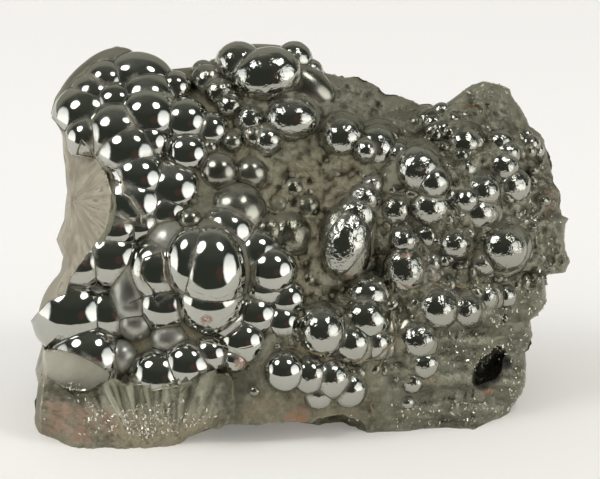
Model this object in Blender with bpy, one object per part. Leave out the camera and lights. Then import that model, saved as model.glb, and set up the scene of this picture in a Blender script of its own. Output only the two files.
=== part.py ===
"""Hematite specimen, the kidney ore habit: one broken lump of grown iron oxide.

Its front is covered with mirror-smooth domes and its edges, foot and back are broken rock.
It grew as one piece, so it is one closed solid that rests on a flat patch of its base.

Places on the front are given in millimetres on a plane that leans back like the front does:
u runs to the right, v runs up that plane and w stands out of it.
World axes are X right, Y back and Z up, with the origin at the middle of the base.
"""

import math

import bmesh
import bpy
from mathutils import Matrix, Vector, noise

MM = 0.001

# Overall size and lean, in millimetres and degrees
FRONT_LEAN = 20.0
BASE_BELOW_CENTRE = 34.1
BACK_DISTANCE = 24.0
LEAST_DEPTH = 3.0
CENTRE_SHIFT_X = -0.75
CENTRE_SHIFT_Y = 1.409

# The body between front and back
MIDDLE_U = 0.0
MIDDLE_V = -2.0
RIM_DEPTH = -4.0
RIM_DEPTH_TO_RIGHT = -3.0
RIM_DEPTH_TO_TOP = -1.0
RIM_POWER = 6.0
RIM_CROWDING = 0.45
GRID_STEPS = 19
RELIEF_REACH = 6.5
RELIEF_CUTOFF = 60.0

# Roughness of the broken rock: its size and height, and how it grows to the right, to the foot
# and to the rim
CRAG_SIZE = 9.0
CRAG_HEIGHT = 2.2
CRAG_EVERYWHERE = 0.25
CRAG_AT_RIGHT = 0.5
CRAG_RIGHT_FROM = 10.0
CRAG_RIGHT_OVER = 15.0
CRAG_AT_FOOT = 0.5
CRAG_FOOT_BELOW = -28.0
CRAG_FOOT_OVER = 6.0
CRAG_AT_RIM = 0.4
BACK_CRAG_SIZE = 16.0
BACK_CRAG_HEIGHT = 5.0
BACK_LEDGE_SIZE = 7.0
BACK_LEDGE_HEIGHT = 3.0
BACK_NOISE_PLACE = 40.0

# The rock is sunk under the left domes, and filled up where a break bares it
ROCK_SINK = 1.5
SINK_FROM_U_TO_U = (-6.0, -12.0)
SINK_FROM_V_TO_V = (-33.0, -28.0)
FILL_OVER_BREAK = 1.6
FILL_UNDER_DOMES = 0.3
FILL_FADES_OUTSIDE = (3.0, 1.0)
FILL_FADES_AT_RIM = (1.0, 0.95)

# Facets of a dome
LARGE_DOME = 7.0
LARGE_DOME_STEPS = 3
SMALL_DOME_STEPS = 2

# Outline of the front seen square on, clockwise from the left of the top lobe
OUTLINE = (
    (-50.6, 25.4), (-49.6, 28.8), (-47.4, 32.4), (-44.8, 34.6), (-40.8, 37.6), (-37.0, 39.2),
    (-33.6, 37.8), (-29.8, 37.0), (-27.4, 35.4), (-26.0, 34.6), (-20.6, 35.2), (-17.4, 36.8),
    (-14.0, 39.4), (-8.4, 39.8), (-4.6, 39.6), (0.0, 38.6), (2.2, 37.0), (3.8, 35.2),
    (5.4, 33.8), (8.8, 33.0), (11.8, 33.2), (14.2, 32.0), (17.6, 30.0), (23.0, 28.2),
    (24.4, 27.4), (29.0, 27.2), (33.4, 30.4), (36.8, 32.2), (40.2, 31.6), (42.8, 30.8),
    (43.8, 28.8), (45.6, 26.6), (46.6, 23.2), (49.4, 21.6), (50.4, 17.4), (51.2, 13.6),
    (53.0, 9.8), (53.2, 5.2), (55.2, 4.4), (54.0, 2.0), (54.4, -2.2), (55.0, -4.6),
    (53.6, -6.8), (49.6, -7.2), (50.0, -11.4), (49.8, -13.8), (46.8, -16.4), (47.4, -19.0),
    (45.8, -23.0), (46.0, -28.0), (45.2, -31.0), (43.0, -34.0), (41.6, -38.6), (39.0, -44.0),
    (28.0, -47.0), (15.0, -47.0), (0.0, -48.0), (-14.0, -50.0), (-30.0, -53.0), (-44.0, -52.0),
    (-52.0, -46.0), (-53.8, -39.0), (-53.4, -33.6), (-53.0, -29.0), (-53.6, -26.4),
    (-52.2, -21.4), (-53.6, -17.0), (-52.0, -12.6), (-48.6, -6.4), (-47.8, -4.0), (-49.4, 0.0),
    (-47.8, 4.0), (-47.2, 9.8), (-47.6, 14.8), (-48.4, 21.6),
)

# Height of the rock under the domes at hand-placed points, as u, v, w
RELIEF = (
    (-47, 30, 1), (-38, 37, 2), (-30, 36, 2), (-36, 28, 8), (-28, 29, 9), (-22, 33, 3),
    (-43, 22, 7), (-33, 20, 13), (-24, 22, 12), (-17, 24, 9), (-31, 11, 15), (-21, 12, 15),
    (-11, 15, 11), (-13, 5, 16), (-22, 2, 18), (-35, 4, 12), (-43, 8, 11), (-44, -1, 13),
    (-18, -6, 20), (-18, -14, 20), (-28, -6, 18), (-5, -5, 17), (-5, -15, 17), (-30, -14, 17),
    (-39, -6, 13), (-48, -9, 11), (-44, -15, 13), (-52, -16, 6), (-37, -21, 16), (-46, -24, 14),
    (-28, -24, 18), (-18, -23, 18), (-5, -25, 18), (8, -20, 14), (8, -28, 15), (-30, -34, 17),
    (-44, -33, 17), (-51, -34, 12), (-43, -42, 18), (-28, -42, 17), (-15, -35, 16), (0, -35, 15),
    (12, -34, 11), (14, -40, 5), (-14, -42, 12), (2, -42, 12), (-13, 35, 4), (-6, 33, 5),
    (0, 35, 2), (-10, 26, 8), (2, 29, 4), (8, 30, -1), (15, 28, -2), (22, 25, 0), (29, 24, 1),
    (-2, 20, 8), (5, 15, 7), (0, 11, 8), (8, 8, 7), (-3, 5, 10), (4, -1, 8), (14, 2, 7),
    (12, -8, 8), (3, -10, 9), (18, -14, 9), (10, 20, 7), (18, 18, 8), (25, 13, 9),
    (20, 5, 8), (28, 5, 8), (22, -5, 9), (30, -3, 8), (36, 8, 8), (40, 16, 5), (34, 20, 4),
    (46, 18, 1), (37, 29, -2), (43, 26, -4), (50, 9, -2), (46, 2, 4), (41, -2, 7),
    (47, -6, 2), (53, -2, -4), (30, -13, 9), (38, -12, 7), (46, -14, 2), (26, -22, 11),
    (35, -20, 10), (44, -22, 4), (24, -30, 10), (34, -30, 9), (43, -30, 3), (22, -39, 6),
    (34, -39, 5),
)

# Domes of the left mass, as u, v, radius and height of the crown above the front plane
MASS_DOMES = {
    "top left lobe": (
        (-39.0, 31.3, 4.9, 8.4), (-41.4, 28.2, 5.4, 9.6), (-42.9, 24.3, 7.1, 11.4),
        (-37.0, 27.0, 4.8, 11.0), (-30.8, 27.5, 6.6, 11.3), (-30.6, 24.1, 6.5, 14.1),
        (-36.7, 20.8, 7.1, 15.0), (-42.6, 20.3, 4.6, 13.6), (-25.2, 30.6, 3.4, 8.0),
    ),
    "upper left": (
        (-34.4, 17.2, 6.9, 16.4), (-30.4, 19.4, 4.8, 14.4), (-32.4, 12.0, 6.2, 17.4),
        (-33.7, 6.8, 7.6, 18.2), (-25.8, 9.6, 6.8, 16.4), (-36.9, 2.4, 6.0, 18.6),
        (-32.1, 3.0, 5.0, 17.4), (-26.8, 5.4, 5.2, 16.6), (-23.1, 23.4, 5.2, 12.8),
        (-18.0, 21.8, 3.9, 11.8), (-22.7, 17.0, 4.8, 14.4),
    ),
    "dusty middle": (
        (-16.2, 13.4, 4.0, 14.8), (-9.9, 13.2, 3.6, 12.8), (-12.7, 5.2, 6.3, 17.0),
        (-25.6, -1.2, 5.4, 19.2), (-26.0, -19.6, 4.2, 18.4),
        (-33.0, -13.0, 4.8, 18.4), (-33.4, -8.6, 4.6, 18.0), (-32.6, -16.6, 3.8, 18.0),
    ),
    "left edge": (
        (-42.2, -0.3, 5.0, 16.4), (-37.6, -3.9, 7.2, 18.9), (-43.8, -4.7, 6.2, 19.0),
        (-45.4, -14.9, 8.6, 18.4), (-38.4, -14.8, 6.6, 17.0), (-42.2, -24.0, 8.0, 19.5),
        (-35.8, -23.4, 3.6, 17.4),
    ),
    "round the main dome": (
        (-14.5, 1.3, 6.1, 18.9), (-27.0, -13.0, 6.0, 19.9), (-15.2, -15.6, 5.0, 19.7),
        (-8.8, -2.9, 5.5, 18.2), (-5.8, -6.3, 5.4, 19.3), (-7.0, -9.4, 5.0, 18.0),
        (-2.9, -12.0, 4.4, 16.9), (-9.0, -15.2, 5.2, 18.2), (-3.6, -16.6, 4.4, 17.2),
        (-22.4, -25.2, 5.6, 20.8), (-28.2, -27.4, 6.2, 20.6), (-18.0, -22.8, 4.0, 19.7),
        (-11.5, -20.4, 5.2, 19.4), (-3.2, -26.2, 4.3, 20.0),
    ),
}

# Single domes, as u, v, radius and how far they stand out of the rock
SINGLE_DOMES = {
    "slanting column": ((-18.6, 31.8, 3.6, 3.0),),
    "top centre": ((-12.4, 35.2, 4.9, 3.4), (-1.2, 36.4, 3.8, 3.2)),
    "ridge": (
        (8.4, 20.4, 4.4, 5.4), (15.2, 18.4, 4.4, 5.2), (23.7, 13.8, 5.0, 5.4),
        (26.6, 11.4, 3.6, 5.0),
    ),
    "hollow": ((-2.5, 0.8, 5.0, 3.4), (-6.6, 1.4, 3.8, 2.2)),
    "finger": ((11.2, 4.8, 4.2, 5.6),),
    "lower middle": (
        (1.8, -27.0, 4.0, 3.2), (6.0, -27.6, 4.3, 3.6), (3.6, -30.6, 3.4, 2.4),
        (9.7, -29.8, 3.9, 3.2), (13.0, -16.2, 5.0, 4.8), (13.4, -11.8, 4.6, 3.8),
        (10.0, -20.8, 4.2, 4.0), (14.8, -20.8, 3.6, 3.0),
    ),
    "right half": (
        (33.1, 19.2, 3.7, 2.8), (36.6, 9.6, 3.8, 3.6), (35.8, 5.4, 4.2, 2.6),
        (41.0, 15.4, 3.8, 3.4), (42.4, 10.8, 4.4, 2.6), (19.2, 5.8, 3.6, 2.6),
        (26.0, 6.4, 4.4, 3.2), (30.9, -1.0, 3.4, 3.0), (27.4, -13.9, 4.4, 3.8),
        (33.0, -14.2, 3.6, 3.0), (23.5, -20.2, 4.2, 3.2),
    ),
}

# Long domes, as u, v, half width, half height, turn in degrees and height of the crown
LONG_DOMES = (
    (-41.2, 30.3, 10.7, 5.7, 45, 6.4),
    (-32.2, 32.2, 7.2, 5.6, -12, 8.5),
    (-6.7, 33.0, 7.2, 5.8, 14, 9.4),
    (0.6, 31.0, 7.4, 4.4, -32, 4.6),
    (-1.8, 24.2, 5.4, 4.4, 0, 11.8),
    (8.9, -0.8, 4.8, 7.4, -16, 15.2),
    (-17.4, -5.6, 8.2, 10.3, 0, 22.4),
    (-17.5, -6.4, 7.0, 9.4, 0, 24.6),
    (-17.8, -12.2, 7.0, 7.0, 0, 23.1),
    (-21.2, -4.8, 5.8, 7.6, 0, 23.4),
    (-28.3, -6.4, 6.8, 7.4, 0, 20.7),
    (-33.6, -9.6, 4.4, 8.8, 0, 18.6),
    (-34.6, -3.6, 3.4, 6.4, 12, 17.4),
    (-41.4, -9.6, 6.4, 2.8, 0, 15.8),
    (4.3, -18.4, 4.7, 5.2, 0, 19.4),
    (20.8, -6.2, 4.2, 5.2, 0, 12.6),
    (40.9, -1.8, 4.8, 4.6, 0, 9.8),
)

# Broken faces, as a centre, the outline round it, and the plane that was left: its height at a
# place u, v and its slopes along u and v
BREAKS = {
    "left fracture": (
        (-47.5, 4.0),
        ((-41, 16), (-38.6, 13), (-37.6, 9.5), (-37.6, 6.5), (-38.6, 2), (-40.6, -0.6),
         (-42.6, -3.4), (-45.8, -7.9), (-46.6, -10.8), (-50, -12.3), (-53.8, -16.3), (-60, -22),
         (-60, 20), (-50.5, 25), (-47, 21.5), (-46.5, 18), (-45.5, 16.8), (-43, 16.5)),
        (15.9, -38.0, 7.0, 1.19, -0.3)),
    "lower left facet": (
        (-44.4, -25.8),
        ((-51.4, -21.8), (-47.2, -22.2), (-44.2, -22.9), (-41.2, -24.3), (-37.2, -26.9),
         (-41.2, -29.6), (-43.6, -30), (-47, -29.2), (-49.4, -27.6), (-51.0, -26.8)),
        (17.4, -45.0, -22.4, 0.2, 0.2)),
    "left flank": (
        (-56.0, -23.0),
        ((-53.7, -16.4), (-52.6, -19.4), (-50.9, -22.3), (-50.0, -26.5), (-50.6, -28.2),
         (-60, -29), (-60, -15)),
        (15.3, -50.4, -24.0, 2.2, 0.0)),
    "under the left domes": (
        (-33.0, -42.0),
        ((-60, -29), (-54, -28.6), (-50.8, -26.7), (-49.2, -27.4), (-47, -29.3), (-43.6, -30.1),
         (-42, -30.0), (-37.2, -27.1), (-35, -28.7), (-31, -28.9), (-29, -29.8), (-25, -29.1),
         (-22.6, -28.6), (-20, -26.6), (-17.4, -26), (-13.5, -27.5), (-10, -31), (-8, -46),
         (-60, -50)),
        (17.1, -38.0, -29.0, 0.08, 0.12)),
}
BREAK_RINGS = 3
CUTTER_TOP = 40.0

# The break under the left domes falls off to the right, and runs down to where the foot ends
FALL_TO_RIGHT = 2.5
FALL_FROM_U_TO_U = (-18.0, -9.0)
FOOT_FROM_V_TO_V = (-31.0, -41.0)
FOOT_EDGE = (
    (-53.0, 4.0), (-51.8, 7.0), (-45.4, 14.0), (-38.6, 15.0), (-34.8, 15.8), (-27.0, 14.6),
    (-21.8, 12.6), (-17.4, 12.2), (-8.0, 12.8),
)
FRACTURE_OVER_RIM = 1.0

# Hollows broken into the foot and the base, as middle before the shift to the centre and half
# sizes, along X, Y and Z of the world, and the turn about Y in degrees
ARCH = ((-4.6, -27.0, -0.5), (19.6, 13.0, 4.9), 0.0)
ARCH_RIGHT = ((6.8, -27.0, 0.6), (7.4, 13.0, 4.3), 0.0)
CAVITY = ((38.6, -15.5, 11.6), (5.3, 9.0, 2.6), -42.0)
HOLLOW_STEPS = 2
GROUND_HALF = 90.0

HEMATITE_GREY = (0.07, 0.072, 0.075, 1.0)
HEMATITE_METALLIC = 0.6
HEMATITE_ROUGHNESS = 0.3


def to_world(u, v, w):
    """Turn a place on the leaning front into world metres."""
    lean = math.radians(FRONT_LEAN)
    x = u + CENTRE_SHIFT_X
    y = v * math.sin(lean) - w * math.cos(lean) + CENTRE_SHIFT_Y
    z = v * math.cos(lean) + w * math.sin(lean) + BASE_BELOW_CENTRE
    return Vector((x, y, z)) * MM


def front_axes():
    """Axes of the leaning front in the world: along u, along v and along w."""
    lean = math.radians(FRONT_LEAN)
    along_u = Vector((1.0, 0.0, 0.0))
    along_v = Vector((0.0, math.sin(lean), math.cos(lean)))
    along_w = Vector((0.0, -math.cos(lean), math.sin(lean)))
    return Matrix((along_u, along_v, along_w)).transposed()


def smooth_step(low, high, value):
    """0 at low, 1 at high and an S curve between; low may be above high."""
    share = min(max((value - low) / (high - low), 0.0), 1.0)
    return share * share * (3.0 - 2.0 * share)


def outline_by_angle():
    """Outline points as angle and distance from the middle, in rising angle."""
    polar = []
    for u, v in OUTLINE:
        du = u - MIDDLE_U
        dv = v - MIDDLE_V
        polar.append((math.atan2(dv, du), math.hypot(du, dv)))
    polar.sort()
    first = polar[0]
    last = polar[-1]
    polar.insert(0, (last[0] - math.tau, last[1]))
    polar.append((first[0] + math.tau, first[1]))
    return polar


POLAR_OUTLINE = outline_by_angle()


def outline_distance(angle):
    """Distance from the middle to the outline at an angle."""
    for (a0, r0), (a1, r1) in zip(POLAR_OUTLINE, POLAR_OUTLINE[1:]):
        if a0 <= angle <= a1:
            share = (angle - a0) / max(a1 - a0, 1e-9)
            return r0 + (r1 - r0) * share
    return POLAR_OUTLINE[0][1]


def relief(u, v):
    """Height of the rock from the hand-placed points, blended smoothly."""
    total = 0.0
    weights = 1e-12
    for pu, pv, pw in RELIEF:
        away = ((u - pu) ** 2 + (v - pv) ** 2) / (2.0 * RELIEF_REACH ** 2)
        weight = math.exp(-min(away, RELIEF_CUTOFF))
        total += weight * pw
        weights += weight
    return total / weights


def rim_depth(angle):
    """Depth of the edge where front and back meet."""
    return RIM_DEPTH + RIM_DEPTH_TO_RIGHT * math.cos(angle) + RIM_DEPTH_TO_TOP * math.sin(angle)


def rim_round(rho):
    """1 over the middle of the body, falling to 0 at its rim."""
    return math.sqrt(max(0.0, 1.0 - min(rho, 1.0) ** RIM_POWER))


def front_height(u, v):
    """Height of the smooth rock at a place of the front, with the rounding to the rim."""
    angle = math.atan2(v - MIDDLE_V, u - MIDDLE_U)
    rho = math.hypot(u - MIDDLE_U, v - MIDDLE_V) / outline_distance(angle)
    rim = rim_depth(angle)
    return rim + (relief(u, v) - rim) * rim_round(rho)


def all_domes():
    """Every dome as u, v, half width, half height, turn in degrees and height of its crown."""
    domes = list(LONG_DOMES)
    for part in MASS_DOMES.values():
        for u, v, radius, crown in part:
            domes.append((u, v, radius, radius, 0.0, crown))
    for part in SINGLE_DOMES.values():
        for u, v, radius, stand_out in part:
            domes.append((u, v, radius, radius, 0.0, front_height(u, v) + stand_out))
    return domes


DOMES = all_domes()


def top_of_domes(u, v):
    """Height of the highest dome at a place, or None where there is none."""
    top = None
    for dome_u, dome_v, half_width, half_height, turn, crown in DOMES:
        angle = math.radians(turn)
        du = u - dome_u
        dv = v - dome_v
        x = (du * math.cos(angle) + dv * math.sin(angle)) / half_width
        y = (dv * math.cos(angle) - du * math.sin(angle)) / half_height
        inside = 1.0 - x * x - y * y
        if inside > 0.0:
            depth = min(half_width, half_height)
            height = crown - depth + depth * math.sqrt(inside)
            top = height if top is None else max(top, height)
    return top


def outside_by(centre, outline, u, v):
    """How far a place lies outside the outline round a centre, less than 0 inside it."""
    middle = Vector(centre)
    place = Vector((u, v)) - middle
    reach = 0.0
    for corner, next_corner in zip(outline, outline[1:] + outline[:1]):
        start = Vector(corner) - middle
        side = Vector(next_corner) - Vector(corner)
        turn = place.x * side.y - place.y * side.x
        if abs(turn) < 1e-9:
            continue
        share = (start.x * side.y - start.y * side.x) / turn
        along = (start.x * place.y - start.y * place.x) / turn
        if share > 0.0 and 0.0 <= along <= 1.0:
            reach = max(reach, share)
    return place.length * (1.0 - reach)


def foot_depth(u):
    """Height of the front where the left foot meets the ground."""
    if u <= FOOT_EDGE[0][0]:
        return FOOT_EDGE[0][1]
    for (u0, w0), (u1, w1) in zip(FOOT_EDGE, FOOT_EDGE[1:]):
        if u <= u1:
            return w0 + (w1 - w0) * (u - u0) / (u1 - u0)
    return FOOT_EDGE[-1][1]


def break_floor(name, u, v):
    """Height of what a break left standing."""
    height, at_u, at_v, slope_u, slope_v = BREAKS[name][2]
    floor = height + slope_u * (u - at_u) + slope_v * (v - at_v)
    if name == "left fracture":
        return max(floor, rim_depth(math.pi) + FRACTURE_OVER_RIM)
    if name == "under the left domes":
        floor -= FALL_TO_RIGHT * smooth_step(*FALL_FROM_U_TO_U, u)
        return floor + (foot_depth(u) - floor) * smooth_step(*FOOT_FROM_V_TO_V, v)
    return floor


def rock_height(u, v, rho):
    """Height of the rock: sunk under the left domes, and filled up where a break bares it."""
    sunk = smooth_step(*SINK_FROM_U_TO_U, u) * smooth_step(*SINK_FROM_V_TO_V, v)
    height = front_height(u, v) - ROCK_SINK * sunk * rim_round(rho)
    skin = top_of_domes(u, v)
    for name, (centre, outline, plane) in BREAKS.items():
        outside = outside_by(centre, outline, u, v)
        filled = break_floor(name, u, v) + FILL_OVER_BREAK
        if outside > 0.0 and skin is None:
            continue
        if outside > 0.0:
            filled = min(filled, skin - FILL_UNDER_DOMES)
        share = smooth_step(*FILL_FADES_OUTSIDE, outside) * smooth_step(*FILL_FADES_AT_RIM, rho)
        height = max(height, height + share * (filled - height))
    return height


def back_height(u, v, rho, angle):
    """Depth of the broken back, an upright rough face behind the leaning front."""
    lean = math.radians(FRONT_LEAN)
    upright = (v * math.sin(lean) - BACK_DISTANCE) / math.cos(lean)
    place = Vector((u, v, BACK_NOISE_PLACE))
    upright += BACK_CRAG_HEIGHT * noise.noise(place / BACK_CRAG_SIZE)
    upright += BACK_LEDGE_HEIGHT * noise.noise(place / BACK_LEDGE_SIZE)
    rim = rim_depth(angle)
    return rim + (min(upright, rim - LEAST_DEPTH) - rim) * rim_round(rho)


def disc_place(step_u, step_v):
    """Place of a square grid's point on the body: u, v, share of the way to the rim, angle."""
    s = 2.0 * step_u / GRID_STEPS - 1.0
    t = 2.0 * step_v / GRID_STEPS - 1.0
    x = s * math.sqrt(1.0 - t * t / 2.0)
    y = t * math.sqrt(1.0 - s * s / 2.0)
    rho = min(math.hypot(x, y), 1.0)
    angle = math.atan2(y, x)
    crowded = (1.0 - RIM_CROWDING) * rho + RIM_CROWDING * math.sin(rho * math.pi / 2.0)
    distance = crowded * outline_distance(angle)
    u = MIDDLE_U + distance * math.cos(angle)
    v = MIDDLE_V + distance * math.sin(angle)
    return u, v, crowded, angle


def crag(u, v, w, rho):
    """Lumps of broken rock, strongest on the right half, the foot and the rim."""
    rock = CRAG_EVERYWHERE
    rock += CRAG_AT_RIGHT * min(max(u - CRAG_RIGHT_FROM, 0.0) / CRAG_RIGHT_OVER, 1.0)
    rock += CRAG_AT_FOOT * min(max(CRAG_FOOT_BELOW - v, 0.0) / CRAG_FOOT_OVER, 1.0)
    rock = min(rock + CRAG_AT_RIM * rho ** 4, 1.0)
    spot = Vector((u, v, w)) / CRAG_SIZE
    return rock * CRAG_HEIGHT * noise.noise(spot)


def finished_mesh(bm, name):
    """Turn what a bmesh holds into a mesh."""
    mesh = bpy.data.meshes.new(name)
    bm.to_mesh(mesh)
    bm.free()
    return mesh


def body_mesh():
    """The rock as a closed cushion: a front and a back grid that share their rim."""
    bm = bmesh.new()
    front = {}
    back = {}
    for i in range(GRID_STEPS + 1):
        for j in range(GRID_STEPS + 1):
            u, v, rho, angle = disc_place(i, j)
            at_rim = i in (0, GRID_STEPS) or j in (0, GRID_STEPS)
            w = rim_depth(angle) if at_rim else rock_height(u, v, rho)
            lump = 0.0 if at_rim else crag(u, v, w, rho)
            front[i, j] = bm.verts.new(to_world(u, v, w + lump))
            if at_rim:
                back[i, j] = front[i, j]
            else:
                back[i, j] = bm.verts.new(to_world(u, v, back_height(u, v, rho, angle)))
    for i in range(GRID_STEPS):
        for j in range(GRID_STEPS):
            bm.faces.new((front[i, j], front[i + 1, j], front[i + 1, j + 1], front[i, j + 1]))
            bm.faces.new((back[i, j], back[i, j + 1], back[i + 1, j + 1], back[i + 1, j]))
    bmesh.ops.triangulate(bm, faces=bm.faces)
    return finished_mesh(bm, "rock")


def guide_object(mesh, name, collection):
    """A guide or cutter, which is not part of the model."""
    guide = bpy.data.objects.new(name, mesh)
    collection.objects.link(guide)
    guide.hide_render = True
    guide.display_type = "WIRE"
    return guide


def dome_mesh(u, v, half_width, half_height, turn, crown):
    """A faceted dome whose crown has a height above the front plane."""
    depth = min(half_width, half_height)
    steps = LARGE_DOME_STEPS if depth >= LARGE_DOME else SMALL_DOME_STEPS
    bm = bmesh.new()
    bmesh.ops.create_icosphere(bm, subdivisions=steps, radius=1.0)
    half_sizes = Matrix.Diagonal(Vector((half_width, half_height, depth))) * MM
    spin = Matrix.Rotation(math.radians(turn), 3, "Z")
    shape = (front_axes() @ spin @ half_sizes).to_4x4()
    place = Matrix.Translation(to_world(u, v, crown - depth))
    bmesh.ops.transform(bm, matrix=place @ shape, verts=bm.verts)
    return finished_mesh(bm, "dome")


def break_mesh(name):
    """What was broken off: a prism over the outline whose lower end is the broken face."""
    centre, outline, plane = BREAKS[name]
    bm = bmesh.new()
    middle = bm.verts.new(to_world(*centre, break_floor(name, *centre)))
    rings = []
    for ring in range(1, BREAK_RINGS + 1):
        share = ring / BREAK_RINGS
        corners = []
        for corner_u, corner_v in outline:
            u = centre[0] + share * (corner_u - centre[0])
            v = centre[1] + share * (corner_v - centre[1])
            corners.append(bm.verts.new(to_world(u, v, break_floor(name, u, v))))
        rings.append(corners)
    top = [bm.verts.new(to_world(u, v, CUTTER_TOP)) for u, v in outline]
    bm.faces.new(top)
    for i in range(len(outline)):
        after = (i + 1) % len(outline)
        bm.faces.new((middle, rings[0][i], rings[0][after]))
        for inner, outer in zip(rings, rings[1:] + [top]):
            bm.faces.new((inner[i], outer[i], outer[after], inner[after]))
    bmesh.ops.recalc_face_normals(bm, faces=bm.faces)
    bmesh.ops.triangulate(bm, faces=bm.faces)
    return finished_mesh(bm, name)


def hollow_mesh(middle, half_sizes, turn):
    """A rounded hollow."""
    bm = bmesh.new()
    bmesh.ops.create_icosphere(bm, subdivisions=HOLLOW_STEPS, radius=1.0)
    sizes = Matrix.Scale(MM, 4) @ Matrix.Diagonal(Vector((*half_sizes, 1.0)))
    spin = Matrix.Rotation(math.radians(turn), 4, "Y")
    centre = (Vector(middle) + Vector((CENTRE_SHIFT_X, CENTRE_SHIFT_Y, 0.0))) * MM
    bmesh.ops.transform(bm, matrix=Matrix.Translation(centre) @ spin @ sizes, verts=bm.verts)
    return finished_mesh(bm, "hollow")


def ground_mesh():
    """A slab below the ground plane, which cuts the flat base."""
    bm = bmesh.new()
    bmesh.ops.create_cube(bm, size=2.0 * GROUND_HALF)
    lower = Matrix.Translation(Vector((0.0, 0.0, -GROUND_HALF * MM))) @ Matrix.Scale(MM, 4)
    bmesh.ops.transform(bm, matrix=lower, verts=bm.verts)
    return finished_mesh(bm, "ground")


def new_collection(name):
    """A collection in the scene."""
    collection = bpy.data.collections.new(name)
    bpy.context.scene.collection.children.link(collection)
    return collection


def add_boolean(piece, name, operation, collection):
    """One exact Boolean with a whole collection."""
    boolean = piece.modifiers.new(name, "BOOLEAN")
    boolean.operation = operation
    boolean.operand_type = "COLLECTION"
    boolean.collection = collection
    boolean.solver = "EXACT"


def hematite_material():
    """Dark grey iron oxide with a metallic shine."""
    material = bpy.data.materials.new("hematite")
    material.use_nodes = True
    shader = material.node_tree.nodes["Principled BSDF"]
    shader.inputs["Base Color"].default_value = HEMATITE_GREY
    shader.inputs["Metallic"].default_value = HEMATITE_METALLIC
    shader.inputs["Roughness"].default_value = HEMATITE_ROUGHNESS
    return material


def clear_scene():
    """Remove whatever the scene holds."""
    for leftover in list(bpy.data.objects):
        bpy.data.objects.remove(leftover, do_unlink=True)


def main():
    """Build the specimen."""
    clear_scene()
    domes = new_collection("domes")
    cuts = new_collection("cuts")
    for number, dome in enumerate(DOMES):
        guide_object(dome_mesh(*dome), f"dome_{number + 1}", domes)
    for name in BREAKS:
        guide_object(break_mesh(name), name, cuts)
    guide_object(hollow_mesh(*ARCH), "arch", cuts)
    guide_object(hollow_mesh(*ARCH_RIGHT), "right end of the arch", cuts)
    guide_object(hollow_mesh(*CAVITY), "cavity", cuts)
    guide_object(ground_mesh(), "ground", cuts)
    specimen = bpy.data.objects.new("hematite_specimen", body_mesh())
    bpy.context.scene.collection.objects.link(specimen)
    specimen.data.materials.append(hematite_material())
    add_boolean(specimen, "fuse domes", "UNION", domes)
    add_boolean(specimen, "break and rest", "DIFFERENCE", cuts)
    print(f"hematite specimen with {len(DOMES)} domes")


main()
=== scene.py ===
# %% [markdown]
# This file gives a lump of hematite its looks. Hematite is iron oxide. Where it grew freely it made
# mirror-smooth domes, the habit called kidney ore, and where it was broken it shows dull rock.
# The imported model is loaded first. It is the fixed frame: everything made here has to sit on it.

import math
from itertools import product

import bmesh
import bpy
import numpy as np
from mathutils import Matrix, Vector, kdtree, noise


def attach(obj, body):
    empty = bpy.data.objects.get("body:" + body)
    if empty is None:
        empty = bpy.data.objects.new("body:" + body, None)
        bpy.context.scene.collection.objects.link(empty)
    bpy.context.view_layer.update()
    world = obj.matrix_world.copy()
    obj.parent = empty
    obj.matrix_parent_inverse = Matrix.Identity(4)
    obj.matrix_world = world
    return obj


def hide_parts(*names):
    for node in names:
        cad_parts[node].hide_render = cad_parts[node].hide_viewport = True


MM = 0.001
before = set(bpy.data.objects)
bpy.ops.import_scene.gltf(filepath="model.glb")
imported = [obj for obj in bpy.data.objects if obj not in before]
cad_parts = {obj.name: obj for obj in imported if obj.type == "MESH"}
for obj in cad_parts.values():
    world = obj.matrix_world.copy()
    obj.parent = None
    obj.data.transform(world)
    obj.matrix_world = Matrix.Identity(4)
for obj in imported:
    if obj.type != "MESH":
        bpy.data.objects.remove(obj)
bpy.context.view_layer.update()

# %% [markdown]
# The front of the lump leans back by 20 degrees, and the camera looks straight at it. So places on
# the front are given on a plane that leans the same way: u to the right, v up the plane and w out of
# it, all in millimetres. Two functions go from there to the world and back.

# %% Places on the leaning front
FRONT_LEAN = 20.0
BASE_BELOW_CENTRE = 34.1
CENTRE_SHIFT_X = -0.75
CENTRE_SHIFT_Y = 1.409

lean = math.radians(FRONT_LEAN)
ALONG_U = (1, 0, 0)
ALONG_V = (0, math.sin(lean), math.cos(lean))
ALONG_W = (0, -math.cos(lean), math.sin(lean))
FRONT_AXES = np.array((ALONG_U, ALONG_V, ALONG_W))
FRONT_MIDDLE = np.array((CENTRE_SHIFT_X, CENTRE_SHIFT_Y, BASE_BELOW_CENTRE))


def to_world(places):
    """Rows of u, v, w in millimetres as world points in metres."""
    return (FRONT_MIDDLE + np.asarray(places, float) @ FRONT_AXES) * MM


def to_front(points):
    """World points in metres as u, v, w in millimetres."""
    return (np.asarray(points, float) / MM - FRONT_MIDDLE) @ FRONT_AXES.T


print("middle of the front", to_world((0.0, 0.0, 0.0)).round(4))

# %% [markdown]
# The camera stands one metre away and looks along the front's w axis, so u and v are also the
# directions of the picture. A long lens keeps the perspective as flat as it is in the photograph.

# %% Camera
CAMERA_DISTANCE = 1.0
PICTURE_WIDTH = 0.120
SENSOR_WIDTH = 36.0
AIM_HEIGHT = 10.0

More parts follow.
